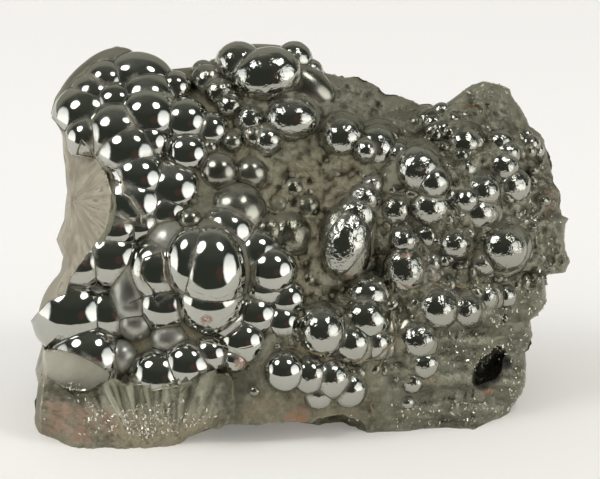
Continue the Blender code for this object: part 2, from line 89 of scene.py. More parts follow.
camera_data = bpy.data.cameras.new("camera")
camera_data.sensor_width = SENSOR_WIDTH
camera_data.lens = SENSOR_WIDTH * CAMERA_DISTANCE / PICTURE_WIDTH
camera_data.clip_start = 0.05
camera_data.clip_end = 20.0
camera = bpy.data.objects.new("camera", camera_data)
aim = Vector(to_world((0.0, 0.0, AIM_HEIGHT)))
camera.location = aim + Vector(ALONG_W) * CAMERA_DISTANCE
camera.rotation_euler = Vector(ALONG_W).to_track_quat("Z", "Y").to_euler()
bpy.context.scene.collection.objects.link(camera)
bpy.context.scene.camera = camera
print("camera at", [round(x, 3) for x in camera.location])

# %% [markdown]
# Broken rock is rough at every scale. A smooth noise blends random values between the corners of a
# lattice, and the same noise at smaller sizes adds the finer roughness. Cell noise measures how near
# a place is to the borders between scattered seeds, which gives plates, pits and scales.

# %% Noise on arrays
TABLE_SIZE = 4096
HASH_STEPS = np.array((73856093, 19349663, 83492791))


def hashed(cells, table):
    """A value from the table for each row of whole numbers."""
    mixed = cells.astype(np.int64) * HASH_STEPS
    return table[(mixed[:, 0] ^ mixed[:, 1] ^ mixed[:, 2]) % TABLE_SIZE]


def smooth_noise(points, size, seed):
    """Noise from -1 to 1 that changes over a size in millimetres."""
    table = np.random.default_rng(seed).uniform(-1.0, 1.0, TABLE_SIZE)
    scaled = np.asarray(points, float) / size
    cell = np.floor(scaled)
    share = scaled - cell
    share = share ** 3 * (share * (share * 6.0 - 15.0) + 10.0)
    total = np.zeros(len(scaled))
    for corner in product((0, 1), repeat=3):
        part = np.where(corner, share, 1.0 - share)
        total += part[:, 0] * part[:, 1] * part[:, 2] * hashed(cell + corner, table)
    return total


def layered_noise(points, size, seed, layers=3, fall=0.5):
    """Noise with finer noise added on top of it."""
    total = np.zeros(len(points))
    strength = 1.0
    for layer in range(layers):
        total += strength * smooth_noise(points, size / 2.0 ** layer, seed + layer)
        strength *= fall
    return total


def cell_noise(points, size, seed):
    """Distance to the nearest and the second nearest seed, as shares of the size."""
    tables = [np.random.default_rng(seed + axis).uniform(0.0, 1.0, TABLE_SIZE) for axis in range(3)]
    scaled = np.asarray(points, float) / size
    cell = np.floor(scaled)
    nearest = np.full(len(scaled), 9.0)
    second = np.full(len(scaled), 9.0)
    for corner in product((-1, 0, 1), repeat=3):
        place = cell + corner
        seed_point = place + np.stack([hashed(place, table) for table in tables], axis=1)
        away = np.linalg.norm(scaled - seed_point, axis=1)
        second = np.minimum(second, np.maximum(nearest, away))
        nearest = np.minimum(nearest, away)
    return nearest, second


def ramp(low, high, value):
    """0 below low, 1 above high and a straight line between; low may be above high."""
    return np.clip((value - low) / (high - low), 0.0, 1.0)


def smooth_step(low, high, value):
    """The same with an S curve between."""
    share = ramp(low, high, value)
    return share * share * (3.0 - 2.0 * share)


SPOT_NOISE = (4, 11)
SPOT_EDGE = (1.25, 0.75)


def flat_places(u, v):
    """Places on the front plane, one row each."""
    return np.stack((u, v, np.zeros(len(u))), axis=1)


def spot_mask(places, spots, ragged=0.3):
    """1 inside soft ellipses given as u, v, half width, half height and strength."""
    mask = np.zeros(len(places))
    wave = ragged * layered_noise(places, *SPOT_NOISE)
    for u, v, half_width, half_height, strength in spots:
        away = np.hypot((places[:, 0] - u) / half_width, (places[:, 1] - v) / half_height)
        mask = np.maximum(mask, strength * smooth_step(*SPOT_EDGE, away + wave))
    return mask


test_points = np.stack(np.meshgrid(*[np.linspace(0.0, 9.0, 10)] * 3), axis=-1).reshape(-1, 3)
print("noise from", smooth_noise(test_points, 3.7, 1).min().round(2))

# %% [markdown]
# The rock is a cushion: a front sheet and a back sheet that share their rim. Its outline and the
# height of its front come from listed points, as in the solid.

# %% Outline and relief of the rock
MIDDLE_U = 0.0
MIDDLE_V = -2.0
BACK_DISTANCE = 24.0
RIM_DEPTH = -4.0
RIM_DEPTH_TO_RIGHT = -3.0
RIM_DEPTH_TO_TOP = -1.0
RIM_POWER = 6.0
RIM_CROWDING = 0.45
RELIEF_REACH = 6.5
RIM_RAGGED = 0.55
# A noise is given by its size in mm, its seed, its layers and how much each finer layer keeps
RIM_NOISE = (2.6, 91, 3, 0.6)
RAGGED_TO_RIGHT = (0, 12)
RAGGED_FOOT = (-28, -31)

OUTLINE = (
    (-50.6, 25.4), (-49.6, 28.8), (-47.4, 32.4), (-44.8, 34.6), (-40.8, 37.6), (-37, 39.2),
    (-33.6, 37.8), (-29.8, 37), (-27.4, 35.4), (-26, 34.6), (-20.6, 35.2), (-17.4, 36.8),
    (-14, 39.4), (-8.4, 39.8), (-4.6, 39.6), (0, 38.6), (2.2, 37), (3.8, 35.2),
    (5.4, 33.8), (8.8, 33), (11.8, 33.2), (14.2, 32), (17.6, 30), (23, 28.2),
    (24.4, 27.4), (29, 27.2), (33.4, 30.4), (36.8, 32.2), (40.2, 31.6), (42.8, 30.8),
    (43.8, 28.8), (45.6, 26.6), (46.6, 23.2), (49.4, 21.6), (50.4, 17.4), (51.2, 13.6),
    (53, 9.8), (53.2, 5.2), (55.2, 4.4), (54, 2), (54.4, -2.2), (55, -4.6),
    (53.6, -6.8), (49.6, -7.2), (50, -11.4), (49.8, -13.8), (46.8, -16.4), (47.4, -19),
    (45.8, -23), (46, -28), (45.2, -31), (43, -34), (41.6, -38.6), (39, -44),
    (28, -47), (15, -47), (0, -48), (-14, -50), (-30, -53), (-44, -52),
    (-52, -46), (-53.8, -39), (-53.4, -33.6), (-53, -29), (-53.6, -26.4),
    (-52.2, -21.4), (-53.6, -17), (-52, -12.6), (-48.6, -6.4), (-47.8, -4), (-49.4, 0),
    (-47.8, 4), (-47.2, 9.8), (-47.6, 14.8), (-48.4, 21.6),
)
RELIEF = (
    (-47, 30, 1), (-38, 37, 2), (-30, 36, 2), (-36, 28, 8), (-28, 29, 9), (-22, 33, 3),
    (-43, 22, 7), (-33, 20, 13), (-24, 22, 12), (-17, 24, 9), (-31, 11, 15), (-21, 12, 15),
    (-11, 15, 11), (-13, 5, 16), (-22, 2, 18), (-35, 4, 12), (-43, 8, 11), (-44, -1, 13),
    (-18, -6, 20), (-18, -14, 20), (-28, -6, 18), (-5, -5, 17), (-5, -15, 17), (-30, -14, 17),
    (-39, -6, 13), (-48, -9, 11), (-44, -15, 13), (-52, -16, 6), (-37, -21, 16), (-46, -24, 14),
    (-28, -24, 18), (-18, -23, 18), (-5, -25, 18), (8, -20, 14), (8, -28, 15), (-30, -34, 17),
    (-44, -33, 17), (-51, -34, 12), (-43, -42, 18), (-28, -42, 17), (-15, -35, 16), (0, -35, 15),
    (12, -34, 11), (14, -40, 5), (-14, -42, 12), (2, -42, 12), (-13, 35, 4), (-6, 33, 5), (0, 35, 2),
    (-10, 26, 8), (2, 29, 4), (8, 30, -1), (15, 28, -2), (22, 25, 0), (29, 24, 1),
    (-2, 20, 8), (5, 15, 7), (0, 11, 8), (8, 8, 7), (-3, 5, 10), (4, -1, 8), (14, 2, 7),
    (12, -8, 8), (3, -10, 9), (18, -14, 9), (10, 20, 7), (18, 18, 8), (25, 13, 9),
    (20, 5, 8), (28, 5, 8), (22, -5, 9), (30, -3, 8), (36, 8, 8), (40, 16, 5), (34, 20, 4),
    (46, 18, 1), (37, 29, -2), (43, 26, -4), (50, 9, -2), (46, 2, 4), (41, -2, 7),
    (47, -6, 2), (53, -2, -4), (30, -13, 9), (38, -12, 7), (46, -14, 2), (26, -22, 11),
    (35, -20, 10), (44, -22, 4), (24, -30, 10), (34, -30, 9), (43, -30, 3), (22, -39, 6),
    (34, -39, 5),
)


def outline_by_angle():
    """Angles and distances of the outline about the middle, in rising angle."""
    offsets = np.array(OUTLINE) - (MIDDLE_U, MIDDLE_V)
    angles = np.arctan2(offsets[:, 1], offsets[:, 0])
    order = np.argsort(angles)
    return angles[order], np.hypot(offsets[:, 0], offsets[:, 1])[order]


OUTLINE_ANGLES, OUTLINE_DISTANCES = outline_by_angle()
RELIEF_POINTS = np.array(RELIEF, float)
LARGEST_EXPONENT = 60.0
NEARLY_NOTHING = 1e-12


def outline_distance(angle):
    """Distance from the middle to the outline at each angle."""
    return np.interp(angle, OUTLINE_ANGLES, OUTLINE_DISTANCES, period=math.tau)


def rim_share(u, v):
    """Share of the way from the middle to the outline at each place, and its angle."""
    angle = np.arctan2(v - MIDDLE_V, u - MIDDLE_U)
    return np.hypot(u - MIDDLE_U, v - MIDDLE_V) / outline_distance(angle), angle


def ragged_distance(angle):
    """Distance to the outline, ragged at the right and the foot."""
    distance = outline_distance(angle)
    u, v = distance * np.cos(angle), distance * np.sin(angle)
    rough = smooth_step(*RAGGED_TO_RIGHT, u) + smooth_step(*RAGGED_FOOT, v)
    ragged = layered_noise(flat_places(u, v), *RIM_NOISE)
    return distance + RIM_RAGGED * np.minimum(rough, 1.0) * ragged


def relief(u, v):
    """Height of the rock from the hand-set points, blended smoothly."""
    away = (u[:, None] - RELIEF_POINTS[:, 0]) ** 2 + (v[:, None] - RELIEF_POINTS[:, 1]) ** 2
    weight = np.exp(-np.minimum(away / (2.0 * RELIEF_REACH ** 2), LARGEST_EXPONENT))
    return weight @ RELIEF_POINTS[:, 2] / (weight.sum(axis=1) + NEARLY_NOTHING)


def rim_depth(angle):
    """Depth of the edge where front and back meet."""
    return RIM_DEPTH + RIM_DEPTH_TO_RIGHT * np.cos(angle) + RIM_DEPTH_TO_TOP * np.sin(angle)


def rim_round(rho):
    """1 over the middle of the rock, falling to 0 at its rim."""
    return np.sqrt(np.maximum(0.0, 1.0 - np.minimum(rho, 1.0) ** RIM_POWER))


def front_height(u, v):
    """Height of the smooth rock at places of the front."""
    u = np.atleast_1d(np.asarray(u, float))
    v = np.atleast_1d(np.asarray(v, float))
    rho, angle = rim_share(u, v)
    rim = rim_depth(angle)
    return rim + (relief(u, v) - rim) * rim_round(rho)


print("height in the middle", front_height(0.0, 0.0).round(2))

# %% [markdown]
# The domes are ellipsoids that stand out of the rock and out of one another. Each part of the front
# has its own finish: the left half is mirror smooth, the knobs of the ridge and the right half are
# wrinkled, and those in the hollow are dusty.

# %% Finishes of the domes
# Roughness, height of fine wrinkles in mm, dust, height of ruffles in mm, and how olive the shine is
FINISHES = {
    "outer shell": (0.28, 0.02, 0.7, 0.05, 0.6), "top left lobe": (0.07, 0, 0.25, 0.03, 0),
    "upper left": (0.07, 0, 0.3, 0.03, 0), "dusty middle": (0.21, 0, 0.58, 0.05, 0.55),
    "dusty column": (0.33, 0, 0.7, 0.05, 0.1),
    "left edge": (0.06, 0, 0.2, 0.03, 0), "round the main dome": (0.06, 0, 0.28, 0.03, 0),
    "slanting column": (0.12, 0.05, 0.5, 0.12, 0.4), "top centre": (0.06, 0.03, 0.3, 0.08, 0.05),
    "ridge": (0.06, 0.04, 0.32, 0.08, 0.1), "hollow": (0.2, 0.05, 0.75, 0.05, 0.85),
    "finger": (0.08, 0.06, 0.4, 0.22, 0.15), "lower middle": (0.06, 0.03, 0.34, 0.05, 0.1),
    "right half": (0.08, 0.05, 0.36, 0.11, 0.25), "small domes": (0.16, 0.05, 0.46, 0.12, 0.6),
    "pimples": (0.34, 0.06, 0.95, 0.1, 0.95), "layers": (0.17, 0.05, 0.34, 0.15, 0.62),
    "smooth shell": (0.24, 0, 0.45, 0.05, 0.6),
}
print(len(FINISHES), "finishes of domes")

# %% [markdown]
# The domes' places were read off the photograph. A dome of the left mass is given by the height of
# its crown, because it stands on other domes, and a single one by how far it stands out of the rock.

# %% Where the domes stand
# Domes of the left mass: u, v, radius, and height of the crown above the front plane
MASS_DOMES = {
    "top left lobe": (
        (-39, 31.3, 4.9, 8.4), (-41.4, 28.2, 5.4, 9.6), (-42.9, 24.3, 7.1, 11.4),
        (-37, 27, 4.8, 11), (-30.8, 27.5, 6.6, 11.3), (-30.6, 24.1, 6.5, 14.1),
        (-36.7, 20.8, 7.1, 15), (-42.6, 20.3, 4.6, 13.6), (-25.2, 30.6, 3.4, 8),
    ),
    "upper left": (
        (-34.4, 17.2, 6.9, 16.4), (-30.4, 19.4, 4.8, 14.4), (-32.4, 12, 6.2, 17.4),
        (-33.7, 6.8, 7.6, 18.2), (-25.8, 9.6, 6.8, 16.4), (-36.9, 2.4, 6, 18.6),
        (-32.1, 3, 5, 17.4), (-26.8, 5.4, 5.2, 16.6), (-23.1, 23.4, 5.2, 12.8),
        (-18, 21.8, 3.9, 11.8), (-22.7, 17, 4.8, 14.4),
    ),
    "dusty middle": (
        (-13.6, 19.5, 2.2, 11.2), (-18, 18.4, 1.6, 12.3), (-16.2, 13.4, 4, 14.8),
        (-9.9, 13.2, 3.6, 12.8), (-12.7, 5.2, 6.3, 17), (-21.8, 3.8, 2.4, 18.1),
    ),
    "dusty column": (
        (-25.6, -1.2, 5.4, 19.2), (-26, -19.6, 4.2, 18.4), (-33, -13, 4.8, 18.4),
        (-33.4, -8.6, 4.6, 18), (-32.6, -16.6, 3.8, 18), (-35.8, -23.4, 3.6, 17.4),
    ),
    "left edge": (
        (-42.2, -0.3, 5, 16.4), (-37.6, -3.9, 7.2, 18.9), (-43.8, -4.7, 6.2, 19),
        (-45.4, -14.9, 8.6, 18.4), (-38.4, -14.8, 6.6, 17), (-42.2, -24, 8, 19.5),
    ),
    "round the main dome": (
        (-14.5, 1.3, 6.1, 18.9), (-27, -13, 6, 19.9), (-15.2, -15.6, 5, 19.7),
        (-8.8, -2.9, 5.5, 18.2), (-5.8, -6.3, 5.4, 19.3), (-7, -9.4, 5, 18),
        (-2.9, -12, 4.4, 16.9), (-9, -15.2, 5.2, 18.2), (-3.6, -16.6, 4.4, 17.2),
        (-22.4, -25.2, 5.6, 20.8), (-28.2, -27.4, 6.2, 20.6), (-18, -22.8, 4, 19.7),
        (-11.5, -20.4, 5.2, 19.4), (-13, -23.8, 2.8, 18.9), (-3.2, -26.2, 4.3, 20),
    ),
}
# Single domes further right: u, v, radius and how far they stand out of the rock
SINGLE_DOMES = {
    "slanting column": (
        (-18.6, 31.8, 3.6, 3), (-16.2, 29.4, 3.2, 2.8), (-14.2, 26.8, 2.6, 2.2),
        (-19.6, 34, 2.4, 1.6),
    ),
    "top centre": (
        (-12.4, 35.2, 4.9, 3.4), (-1.2, 36.4, 3.8, 3.2), (2, 33.8, 2.8, 2.2),
    ),
    "ridge": (
        (8.4, 20.4, 4.4, 5.4), (15.2, 18.4, 4.4, 5.2), (13.2, 17.8, 2.4, 5.7), (23.7, 13.8, 5, 5.4),
        (26.6, 11.4, 3.6, 5), (-6.6, 19.8, 3.2, 3), (-10, 23.8, 2.8, 2.6), (-9.2, 20.6, 2.4, 2.2),
        (19.6, 17, 2.6, 3.2),
    ),
    "hollow": (
        (-1.4, 10.2, 2.4, 1.2), (1.4, 6.4, 3, 1.6), (-4.4, 6.8, 2.2, 1), (-2.5, 0.8, 5, 3.4),
        (-6.6, 1.4, 3.8, 2.2), (1.6, -8, 1.8, 1.2), (23.4, 23.4, 1.7, 1), (1.6, 9.6, 1.4, 0.8),
        (6.8, 13.4, 1.9, 0.9),
    ),
    "finger": (
        (11.2, 4.8, 4.2, 5.6), (13, 8.2, 3.2, 4.6), (14.4, 10.8, 2.2, 3.4),
    ),
    "lower middle": (
        (1.8, -27, 4, 3.2), (6, -27.6, 4.3, 3.6), (3.6, -30.6, 3.4, 2.4), (9.7, -29.8, 3.9, 3.2),
        (13, -16.2, 5, 4.8), (13.4, -11.8, 4.6, 3.8), (10, -20.8, 4.2, 4),
        (14.8, -20.8, 3.6, 3), (17.2, -17.2, 2.8, 1.8),
    ),
    "right half": (
        (26.9, 23.4, 2.2, 1.6), (28.6, 25.6, 2.2, 1.8), (30.4, 23.8, 2.2, 1.6), (28.6, 22, 2.1, 1.8),
        (33.1, 19.2, 3.7, 2.8), (33.2, 17, 3.2, 1.8), (33.2, 13.8, 2.7, 1.8), (37.4, 15.8, 2.2, 1.2),
        (36.6, 9.6, 3.8, 3.6), (33.2, 7.8, 2.8, 3), (35.8, 5.4, 4.2, 2.6), (29.4, 9.4, 2.6, 1.8),
        (40.4, 19.4, 3, 3), (41.6, 17.2, 3, 3), (40.8, 14.6, 3.4, 3.2), (42.4, 10.8, 4.4, 2.6),
        (46.6, 19.2, 2.2, 1.6), (48, 18, 1.6, 1.2), (45.8, 20.8, 1.6, 1.2), (47, 3.2, 2, 1.3),
        (19.2, 5.8, 3.6, 2.6), (26, 6.4, 4.4, 3.2), (31.6, 5, 2.6, 1.6), (20.7, -0.3, 3, 3.4),
        (16.4, 1.6, 2.2, 1.2), (25.6, 0.8, 2.8, 1.5), (26.2, -4.6, 2.6, 1.5), (30.9, -1, 3.4, 3),
        (41.6, 1.6, 3, 2.4), (44.8, -2.6, 2.4, 1.4), (36.6, -4.6, 3, 1.8), (27.4, -13.9, 4.4, 3.8),
        (33, -14.2, 3.6, 3), (37.2, -11.6, 2.8, 1.8), (41.2, -11.4, 2.6, 1.2), (23.5, -20.2, 4.2, 3.2),
        (24.8, -25, 3.2, 2.2), (22.4, -28.6, 2.4, 1.6), (21.5, -32.6, 1.6, 1),
    ),
}
# Long domes: part, u, v, half width, half height, turn in degrees and height of the crown
LONG_DOMES = (
    ("outer shell", -41.2, 30.3, 10.7, 5.7, 45, 6.4),
    ("top left lobe", -32.2, 32.2, 7.2, 5.6, -12, 8.5),
    ("top centre", -6.7, 33, 7.2, 5.8, 14, 9.4),
    ("smooth shell", 0.6, 31, 7.4, 4.4, -32, 4.6),
    ("ridge", -1.8, 24.2, 5.4, 4.4, 0, 11.8),
    ("finger", 8.9, -0.8, 4.8, 7.4, -16, 15.2),
    ("outer shell", -17.4, -5.6, 8.2, 10.3, 0, 22.4),
    ("round the main dome", -17.5, -6.4, 7, 9.4, 0, 24.6),
    ("round the main dome", -17.8, -12.2, 7, 7, 0, 23.1),
    ("round the main dome", -21.2, -4.8, 5.8, 7.6, 0, 23.4),
    ("round the main dome", -28.3, -6.4, 6.8, 7.4, 0, 20.7),
    ("dusty column", -33.6, -9.6, 4.4, 8.8, 0, 18.6),
    ("dusty column", -34.6, -3.6, 3.4, 6.4, 12, 17.4),
    ("dusty column", -41.4, -9.6, 6.4, 2.8, 0, 15.8),
    ("lower middle", 4.3, -18.4, 4.7, 5.2, 0, 19.4),
    ("right half", 20.8, -6.2, 4.2, 5.2, 0, 12.6),
    ("right half", 40.9, -1.8, 4.8, 4.6, 0, 9.8),
)
print(len(LONG_DOMES), "long domes")

# %% [markdown]
# Each table becomes rows of one kind, so that all domes can be treated alike. Many knobs on the right
# are wrapped in thin layers, like an onion. A layer is one more ellipsoid, wider and lower than the
# knob and a little off its centre.

# %% Rows of domes and their layers
# Layers round a knob: how much wider than it, and how far below its top as a share of its stand-out
LAYERS = ((1.16, 0.1), (1.36, 0.24), (1.62, 0.42))
LAYERED_PARTS = ("slanting column", "ridge", "finger", "lower middle", "right half")
LAYERS_END = 0.80
LAYER_SHIFT = 0.16
LAYER_TURN = 0.25
LOWEST_LAYERED = 1.3
LAYERED_ABOVE = -24.0
WIDEST_LAYERED = 2.2
LAYER_SEED = 210
LAYER_UNEVEN = (0.94, 1.06)


def dome_table():
    """All domes as rows: part, centre u, v, w, half sizes along u, v, w and turn."""
    rows = []
    for part, domes in MASS_DOMES.items():
        for u, v, radius, crown in domes:
            rows.append((part, (u, v, crown - radius), (radius,) * 3, 0.0))
    for part, domes in SINGLE_DOMES.items():
        for u, v, radius, stand_out in domes:
            w = front_height(u, v)[0] + stand_out - radius
            rows.append((part, (u, v, w), (radius,) * 3, 0.0))
    for part, u, v, half_width, half_height, turn, crown in LONG_DOMES:
        depth = min(half_width, half_height)
        half_sizes = (half_width, half_height, depth)
        rows.append((part, (u, v, crown - depth), half_sizes, math.radians(turn)))
    return rows


def layers_of(rows):
    """Wider, flatter layers round each knob, each a little off its centre."""
    draw = np.random.default_rng(LAYER_SEED)
    layers = []
    for part, (u, v, w), half_sizes, turn in rows:
        stand_out = w + half_sizes[2] - front_height(u, v)[0]
        near_rim = rim_share(u, v)[0] > LAYERS_END
        if part not in LAYERED_PARTS or stand_out < LOWEST_LAYERED or near_rim or v < LAYERED_ABOVE:
            continue
        for wider, lower in LAYERS:
            aside = LAYER_SHIFT * (wider - 1.0) * half_sizes[2] * draw.normal(size=2)
            growth = (wider - 1.0) * min(half_sizes[2], WIDEST_LAYERED)
            wide = (np.array(half_sizes) + growth) * draw.uniform(*LAYER_UNEVEN, 3)
            middle = (u + aside[0], v + aside[1], w + half_sizes[2] - lower * stand_out - wide[2])
            layers.append(("layers", middle, tuple(wide), turn + LAYER_TURN * draw.normal()))
    return layers


KNOBS = dome_table()
DOMES = KNOBS + layers_of(KNOBS)
NO_DOME = -99.0


def from_ellipse(u, v, middle, half_sizes, turn):
    """Places along the two axes of an ellipse, as shares of its half sizes."""
    du, dv = u - middle[0], v - middle[1]
    x = (du * math.cos(turn) + dv * math.sin(turn)) / half_sizes[0]
    y = (dv * math.cos(turn) - du * math.sin(turn)) / half_sizes[1]
    return x, y


def top_of_domes(u, v):
    """Height of the highest dome at each place, NO_DOME where there is none."""
    top = np.full(len(u), NO_DOME)
    for part, middle, half_sizes, turn in DOMES:
        x, y = from_ellipse(u, v, middle, half_sizes, turn)
        inside = 1.0 - x * x - y * y
        height = middle[2] + half_sizes[2] * np.sqrt(np.maximum(inside, 0.0))
        top = np.where(inside > 0.0, np.maximum(top, height), top)
    return top


print(len(DOMES), "domes")

# %% [markdown]
# Parts of the lump were knocked off. A break is given by its outline on the front and by the slanted
# plane that was left. A chip is a thin flake off a dome, so its floor follows the dome.

# %% Outlines of the breaks and chips
# Centre, outline, and the plane: its height at a place u, v and its slopes along u and v
BREAKS = {
    "left fracture": (
        (-47.5, 4),
        ((-41, 16), (-38.6, 13), (-37.6, 9.5), (-37.6, 6.5), (-38.6, 2), (-40.6, -0.6), (-42.6, -3.4),
         (-45.8, -7.9), (-46.6, -10.8), (-50, -12.3), (-53.8, -16.3), (-60, -22), (-60, 20),
         (-50.5, 25), (-47, 21.5), (-46.5, 18), (-45.5, 16.8), (-43, 16.5)),
        (15.9, -38, 7, 1.19, -0.3)),
    "lower left facet": (
        (-44.4, -25.8),
        ((-51.4, -21.8), (-47.2, -22.2), (-44.2, -22.9), (-41.2, -24.3), (-37.2, -26.9),
         (-41.2, -29.6), (-43.6, -30), (-47, -29.2), (-49.4, -27.6), (-51, -26.8)),
        (17.4, -45, -22.4, 0.2, 0.2)),
    "left flank": (
        (-56, -23),
        ((-53.7, -16.4), (-52.6, -19.4), (-50.9, -22.3), (-50, -26.5), (-50.6, -28.2), (-60, -29),
         (-60, -15)),
        (15.3, -50.4, -24, 2.2, 0)),
    "under the left domes": (
        (-33, -42),
        ((-60, -29), (-54, -28.6), (-50.8, -26.7), (-49.2, -27.4), (-47, -29.3), (-43.6, -30.1),
         (-42, -30), (-37.2, -27.1), (-35, -28.7), (-31, -28.9), (-29, -29.8), (-25, -29.1),
         (-22.6, -28.6), (-20, -26.6), (-17.4, -26), (-13.5, -27.5), (-10, -31), (-8, -46), (-60, -50)),
        (17.1, -38, -29, 0.08, 0.12)),
}
# Centre, outline and thickness of the flake
CHIPS = {
    "beside the main dome": (
        (-28.6, -7),
        ((-30.9, -3.6), (-31.5, -5.2), (-31.7, -6.8), (-31, -8.3), (-29.7, -9.6), (-29, -10.5),
         (-28.9, -12), (-28, -12.7), (-26.2, -11), (-24.8, -10.6), (-24.6, -10), (-26.8, -7.8),
         (-27, -5.5), (-26.8, -4.2), (-27.5, -2.5)), 0.35),
    "beside the fracture": (
        (-41, 8),
        ((-43.5, 19.8), (-42, 18.5), (-41, 16.8), (-40, 15.8), (-38.5, 14.8), (-36.5, 13.8),
         (-35.3, 11.5), (-35.2, 9.2), (-33.5, 8), (-31.6, 5), (-31.4, 2.8), (-36, 3.4), (-39, 2),
         (-44, 4), (-45, 16)), 0.25),
}
print(len(BREAKS), "breaks and", len(CHIPS), "chips")

# %% [markdown]
# Hematite grows in fibres, and a break shows them: fine streaks on the left fracture, and prisms
# with their tips down under the lower domes. Both are patterns round a centre, where the angle
# counts the fibres. The floor of a break is its plane with such a pattern laid on it.

# %% Fibres, prisms and floors of the breaks
FIBRE_CENTRE = (-45.6, 7.8)
FIBRE_DENSITY = (6, 0.12)
FIBRE_NOISE = (0.6, 61, 3, 0.6)
WEDGE_CENTRE = (-28, -53)
WEDGE_DISTANCE = 21.0
WEDGE_WIDTH = 3.3
WEDGE_TOP = -28.0
WEDGE_TIPS = -38.2
WEDGE_TIPS_VARY = 3.0
WEDGE_HEIGHT = 3.0
WEDGE_HEIGHT_VARIES = 0.8
WEDGE_FLANK = 2.0
WEDGE_LEAN = 0.2
WEDGE_FULL_WIDTH = 1.1
WEDGE_WANDER = 0.35
WEDGE_WANDER_ALONG = 0.1
WEDGE_WANDER_SIZE = 1.3
WEDGE_WANDER_SEED = 71
WEDGE_SIDE_TURNS = (0, 0.06)
# Broad prisms and finer ones on them: how much closer together they stand, and how high
WEDGE_LAYERS = ((1, 1), (1.7, 0.45))
PRISM_TABLE = np.random.default_rng(73).uniform(-1, 1, TABLE_SIZE)
# Where the left foot meets the ground, as u and height
FOOT_EDGE = ((-53, 4), (-51.8, 7), (-45.4, 14), (-38.6, 15), (-34.8, 15.8), (-27, 14.6),
             (-21.8, 12.6), (-17.4, 12.2), (-8, 12.8))
# Waves of the breaks, in mm, and their noises
FRACTURE_FIBRES, FRACTURE_WAVES, FACET_WAVES = 0.1, 0.3, 0.12
FRACTURE_NOISE = (5, 62)
FACET_NOISE = (6, 64, 2)
FRACTURE_ABOVE_RIM = 1.0
# Under the left domes: zones as limits along u or v, where they begin and where they are full
PRISMS_BEGIN, PRISMS_END = (-40, -38), (-15, -19)
PRISMS_DOWN_TO = (-40.5, -35.5)
PRISMS_SUNK = 0.9
SHELTERED, SHELTER_DEPTH = (-35, -30), 0.9
LOWER_AT_RIGHT, LOWER_BY = (-20, -13), 2.1
DOWN_TO_FOOT = (-31, -41)
RIGHT_END, RIGHT_END_RISES = (-13, -10.5), 4.0
GRAINS, GRAINS_ON_PRISMS = 0.42, 0.30
SMOOTH_PRISMS = (-38, -35)
GRAIN_NOISE = (2.2, 65, 4, 0.65)


def cross_product(a, b):
    """How far two flat directions turn from one to the other."""
    return a[..., 0] * b[..., 1] - a[..., 1] * b[..., 0]


def star_reach(centre, outline, angles):
    """Distance from a centre to the outline round it, at each angle."""
    corners = np.array(outline, float) - centre
    corner_angles = np.arctan2(corners[:, 1], corners[:, 0])
    order = np.argsort(corner_angles)
    after = np.searchsorted(corner_angles[order], angles) % len(order)
    start = corners[order][after - 1]
    side = corners[order][after] - start
    ray = np.stack((np.cos(angles), np.sin(angles)), axis=-1)
    return cross_product(start, side) / cross_product(ray, side)


def outside_by(centre, outline, u, v):
    """How far each place lies outside an outline in mm, less than 0 inside."""
    angles = np.arctan2(v - centre[1], u - centre[0])
    return np.hypot(u - centre[0], v - centre[1]) - star_reach(centre, outline, angles)


def fibre_pattern(u, v):
    """Fibres that spread over the left fracture, from -1 to 1."""
    du, dv = u - FIBRE_CENTRE[0], v - FIBRE_CENTRE[1]
    across, along = FIBRE_DENSITY
    fibres = flat_places(np.arctan2(dv, du) * across, np.hypot(du, dv) * along)
    return layered_noise(fibres, *FIBRE_NOISE)


def wedge_pattern(u, v):
    """Prisms side by side that spread upwards under the lower domes: their height in mm, and their
    side, from -1 on their left faces to 1 on their right ones."""
    angle = np.arctan2(u - WEDGE_CENTRE[0], v - WEDGE_CENTRE[1])
    total = np.zeros(len(u))
    side = np.zeros(len(u))
    for layer, (closer, strength) in enumerate(WEDGE_LAYERS):
        along = angle * WEDGE_DISTANCE / WEDGE_WIDTH * closer
        along += WEDGE_WANDER * smooth_noise(flat_places(along, v * WEDGE_WANDER_ALONG),
                                             WEDGE_WANDER_SIZE, WEDGE_WANDER_SEED + layer)
        column = np.floor(along)
        keys = column[:, None] * (1.0, 0.0, 0.0)
        level, tilt = (hashed(keys + (0.0, part, layer), PRISM_TABLE) for part in (0, 1))
        tip = WEDGE_TIPS + WEDGE_TIPS_VARY * level
        taper = np.clip((v - tip) / (WEDGE_TOP - tip), 0.0, 1.0)
        share = along - column - 0.5 - WEDGE_LEAN * tilt
        blade = np.maximum(WEDGE_FULL_WIDTH * taper - WEDGE_FLANK * np.abs(share), 0.0)
        total += strength * (WEDGE_HEIGHT + WEDGE_HEIGHT_VARIES * level) * blade
        side += strength * np.sign(share) * smooth_step(*WEDGE_SIDE_TURNS, blade)
    return total, side


def under_domes_floor(floor, u, v):
    """The face under the left domes: a plane with prisms and grains."""
    prisms = smooth_step(*PRISMS_BEGIN, u) * smooth_step(*PRISMS_END, u)
    shelter = smooth_step(*SHELTERED, v) * (1.0 - prisms)
    floor = floor - (LOWER_BY * smooth_step(*LOWER_AT_RIGHT, u) + SHELTER_DEPTH * shelter)
    foot = np.interp(u, *np.array(FOOT_EDGE).T)
    floor += (foot - floor) * smooth_step(*DOWN_TO_FOOT, v) + RIGHT_END_RISES * smooth_step(*RIGHT_END, u)
    grains = GRAINS - GRAINS_ON_PRISMS * prisms * smooth_step(*SMOOTH_PRISMS, v)
    raised = wedge_pattern(u, v)[0] * smooth_step(*PRISMS_DOWN_TO, v) - PRISMS_SUNK
    return floor + prisms * raised + grains * layered_noise(flat_places(u, v), *GRAIN_NOISE)


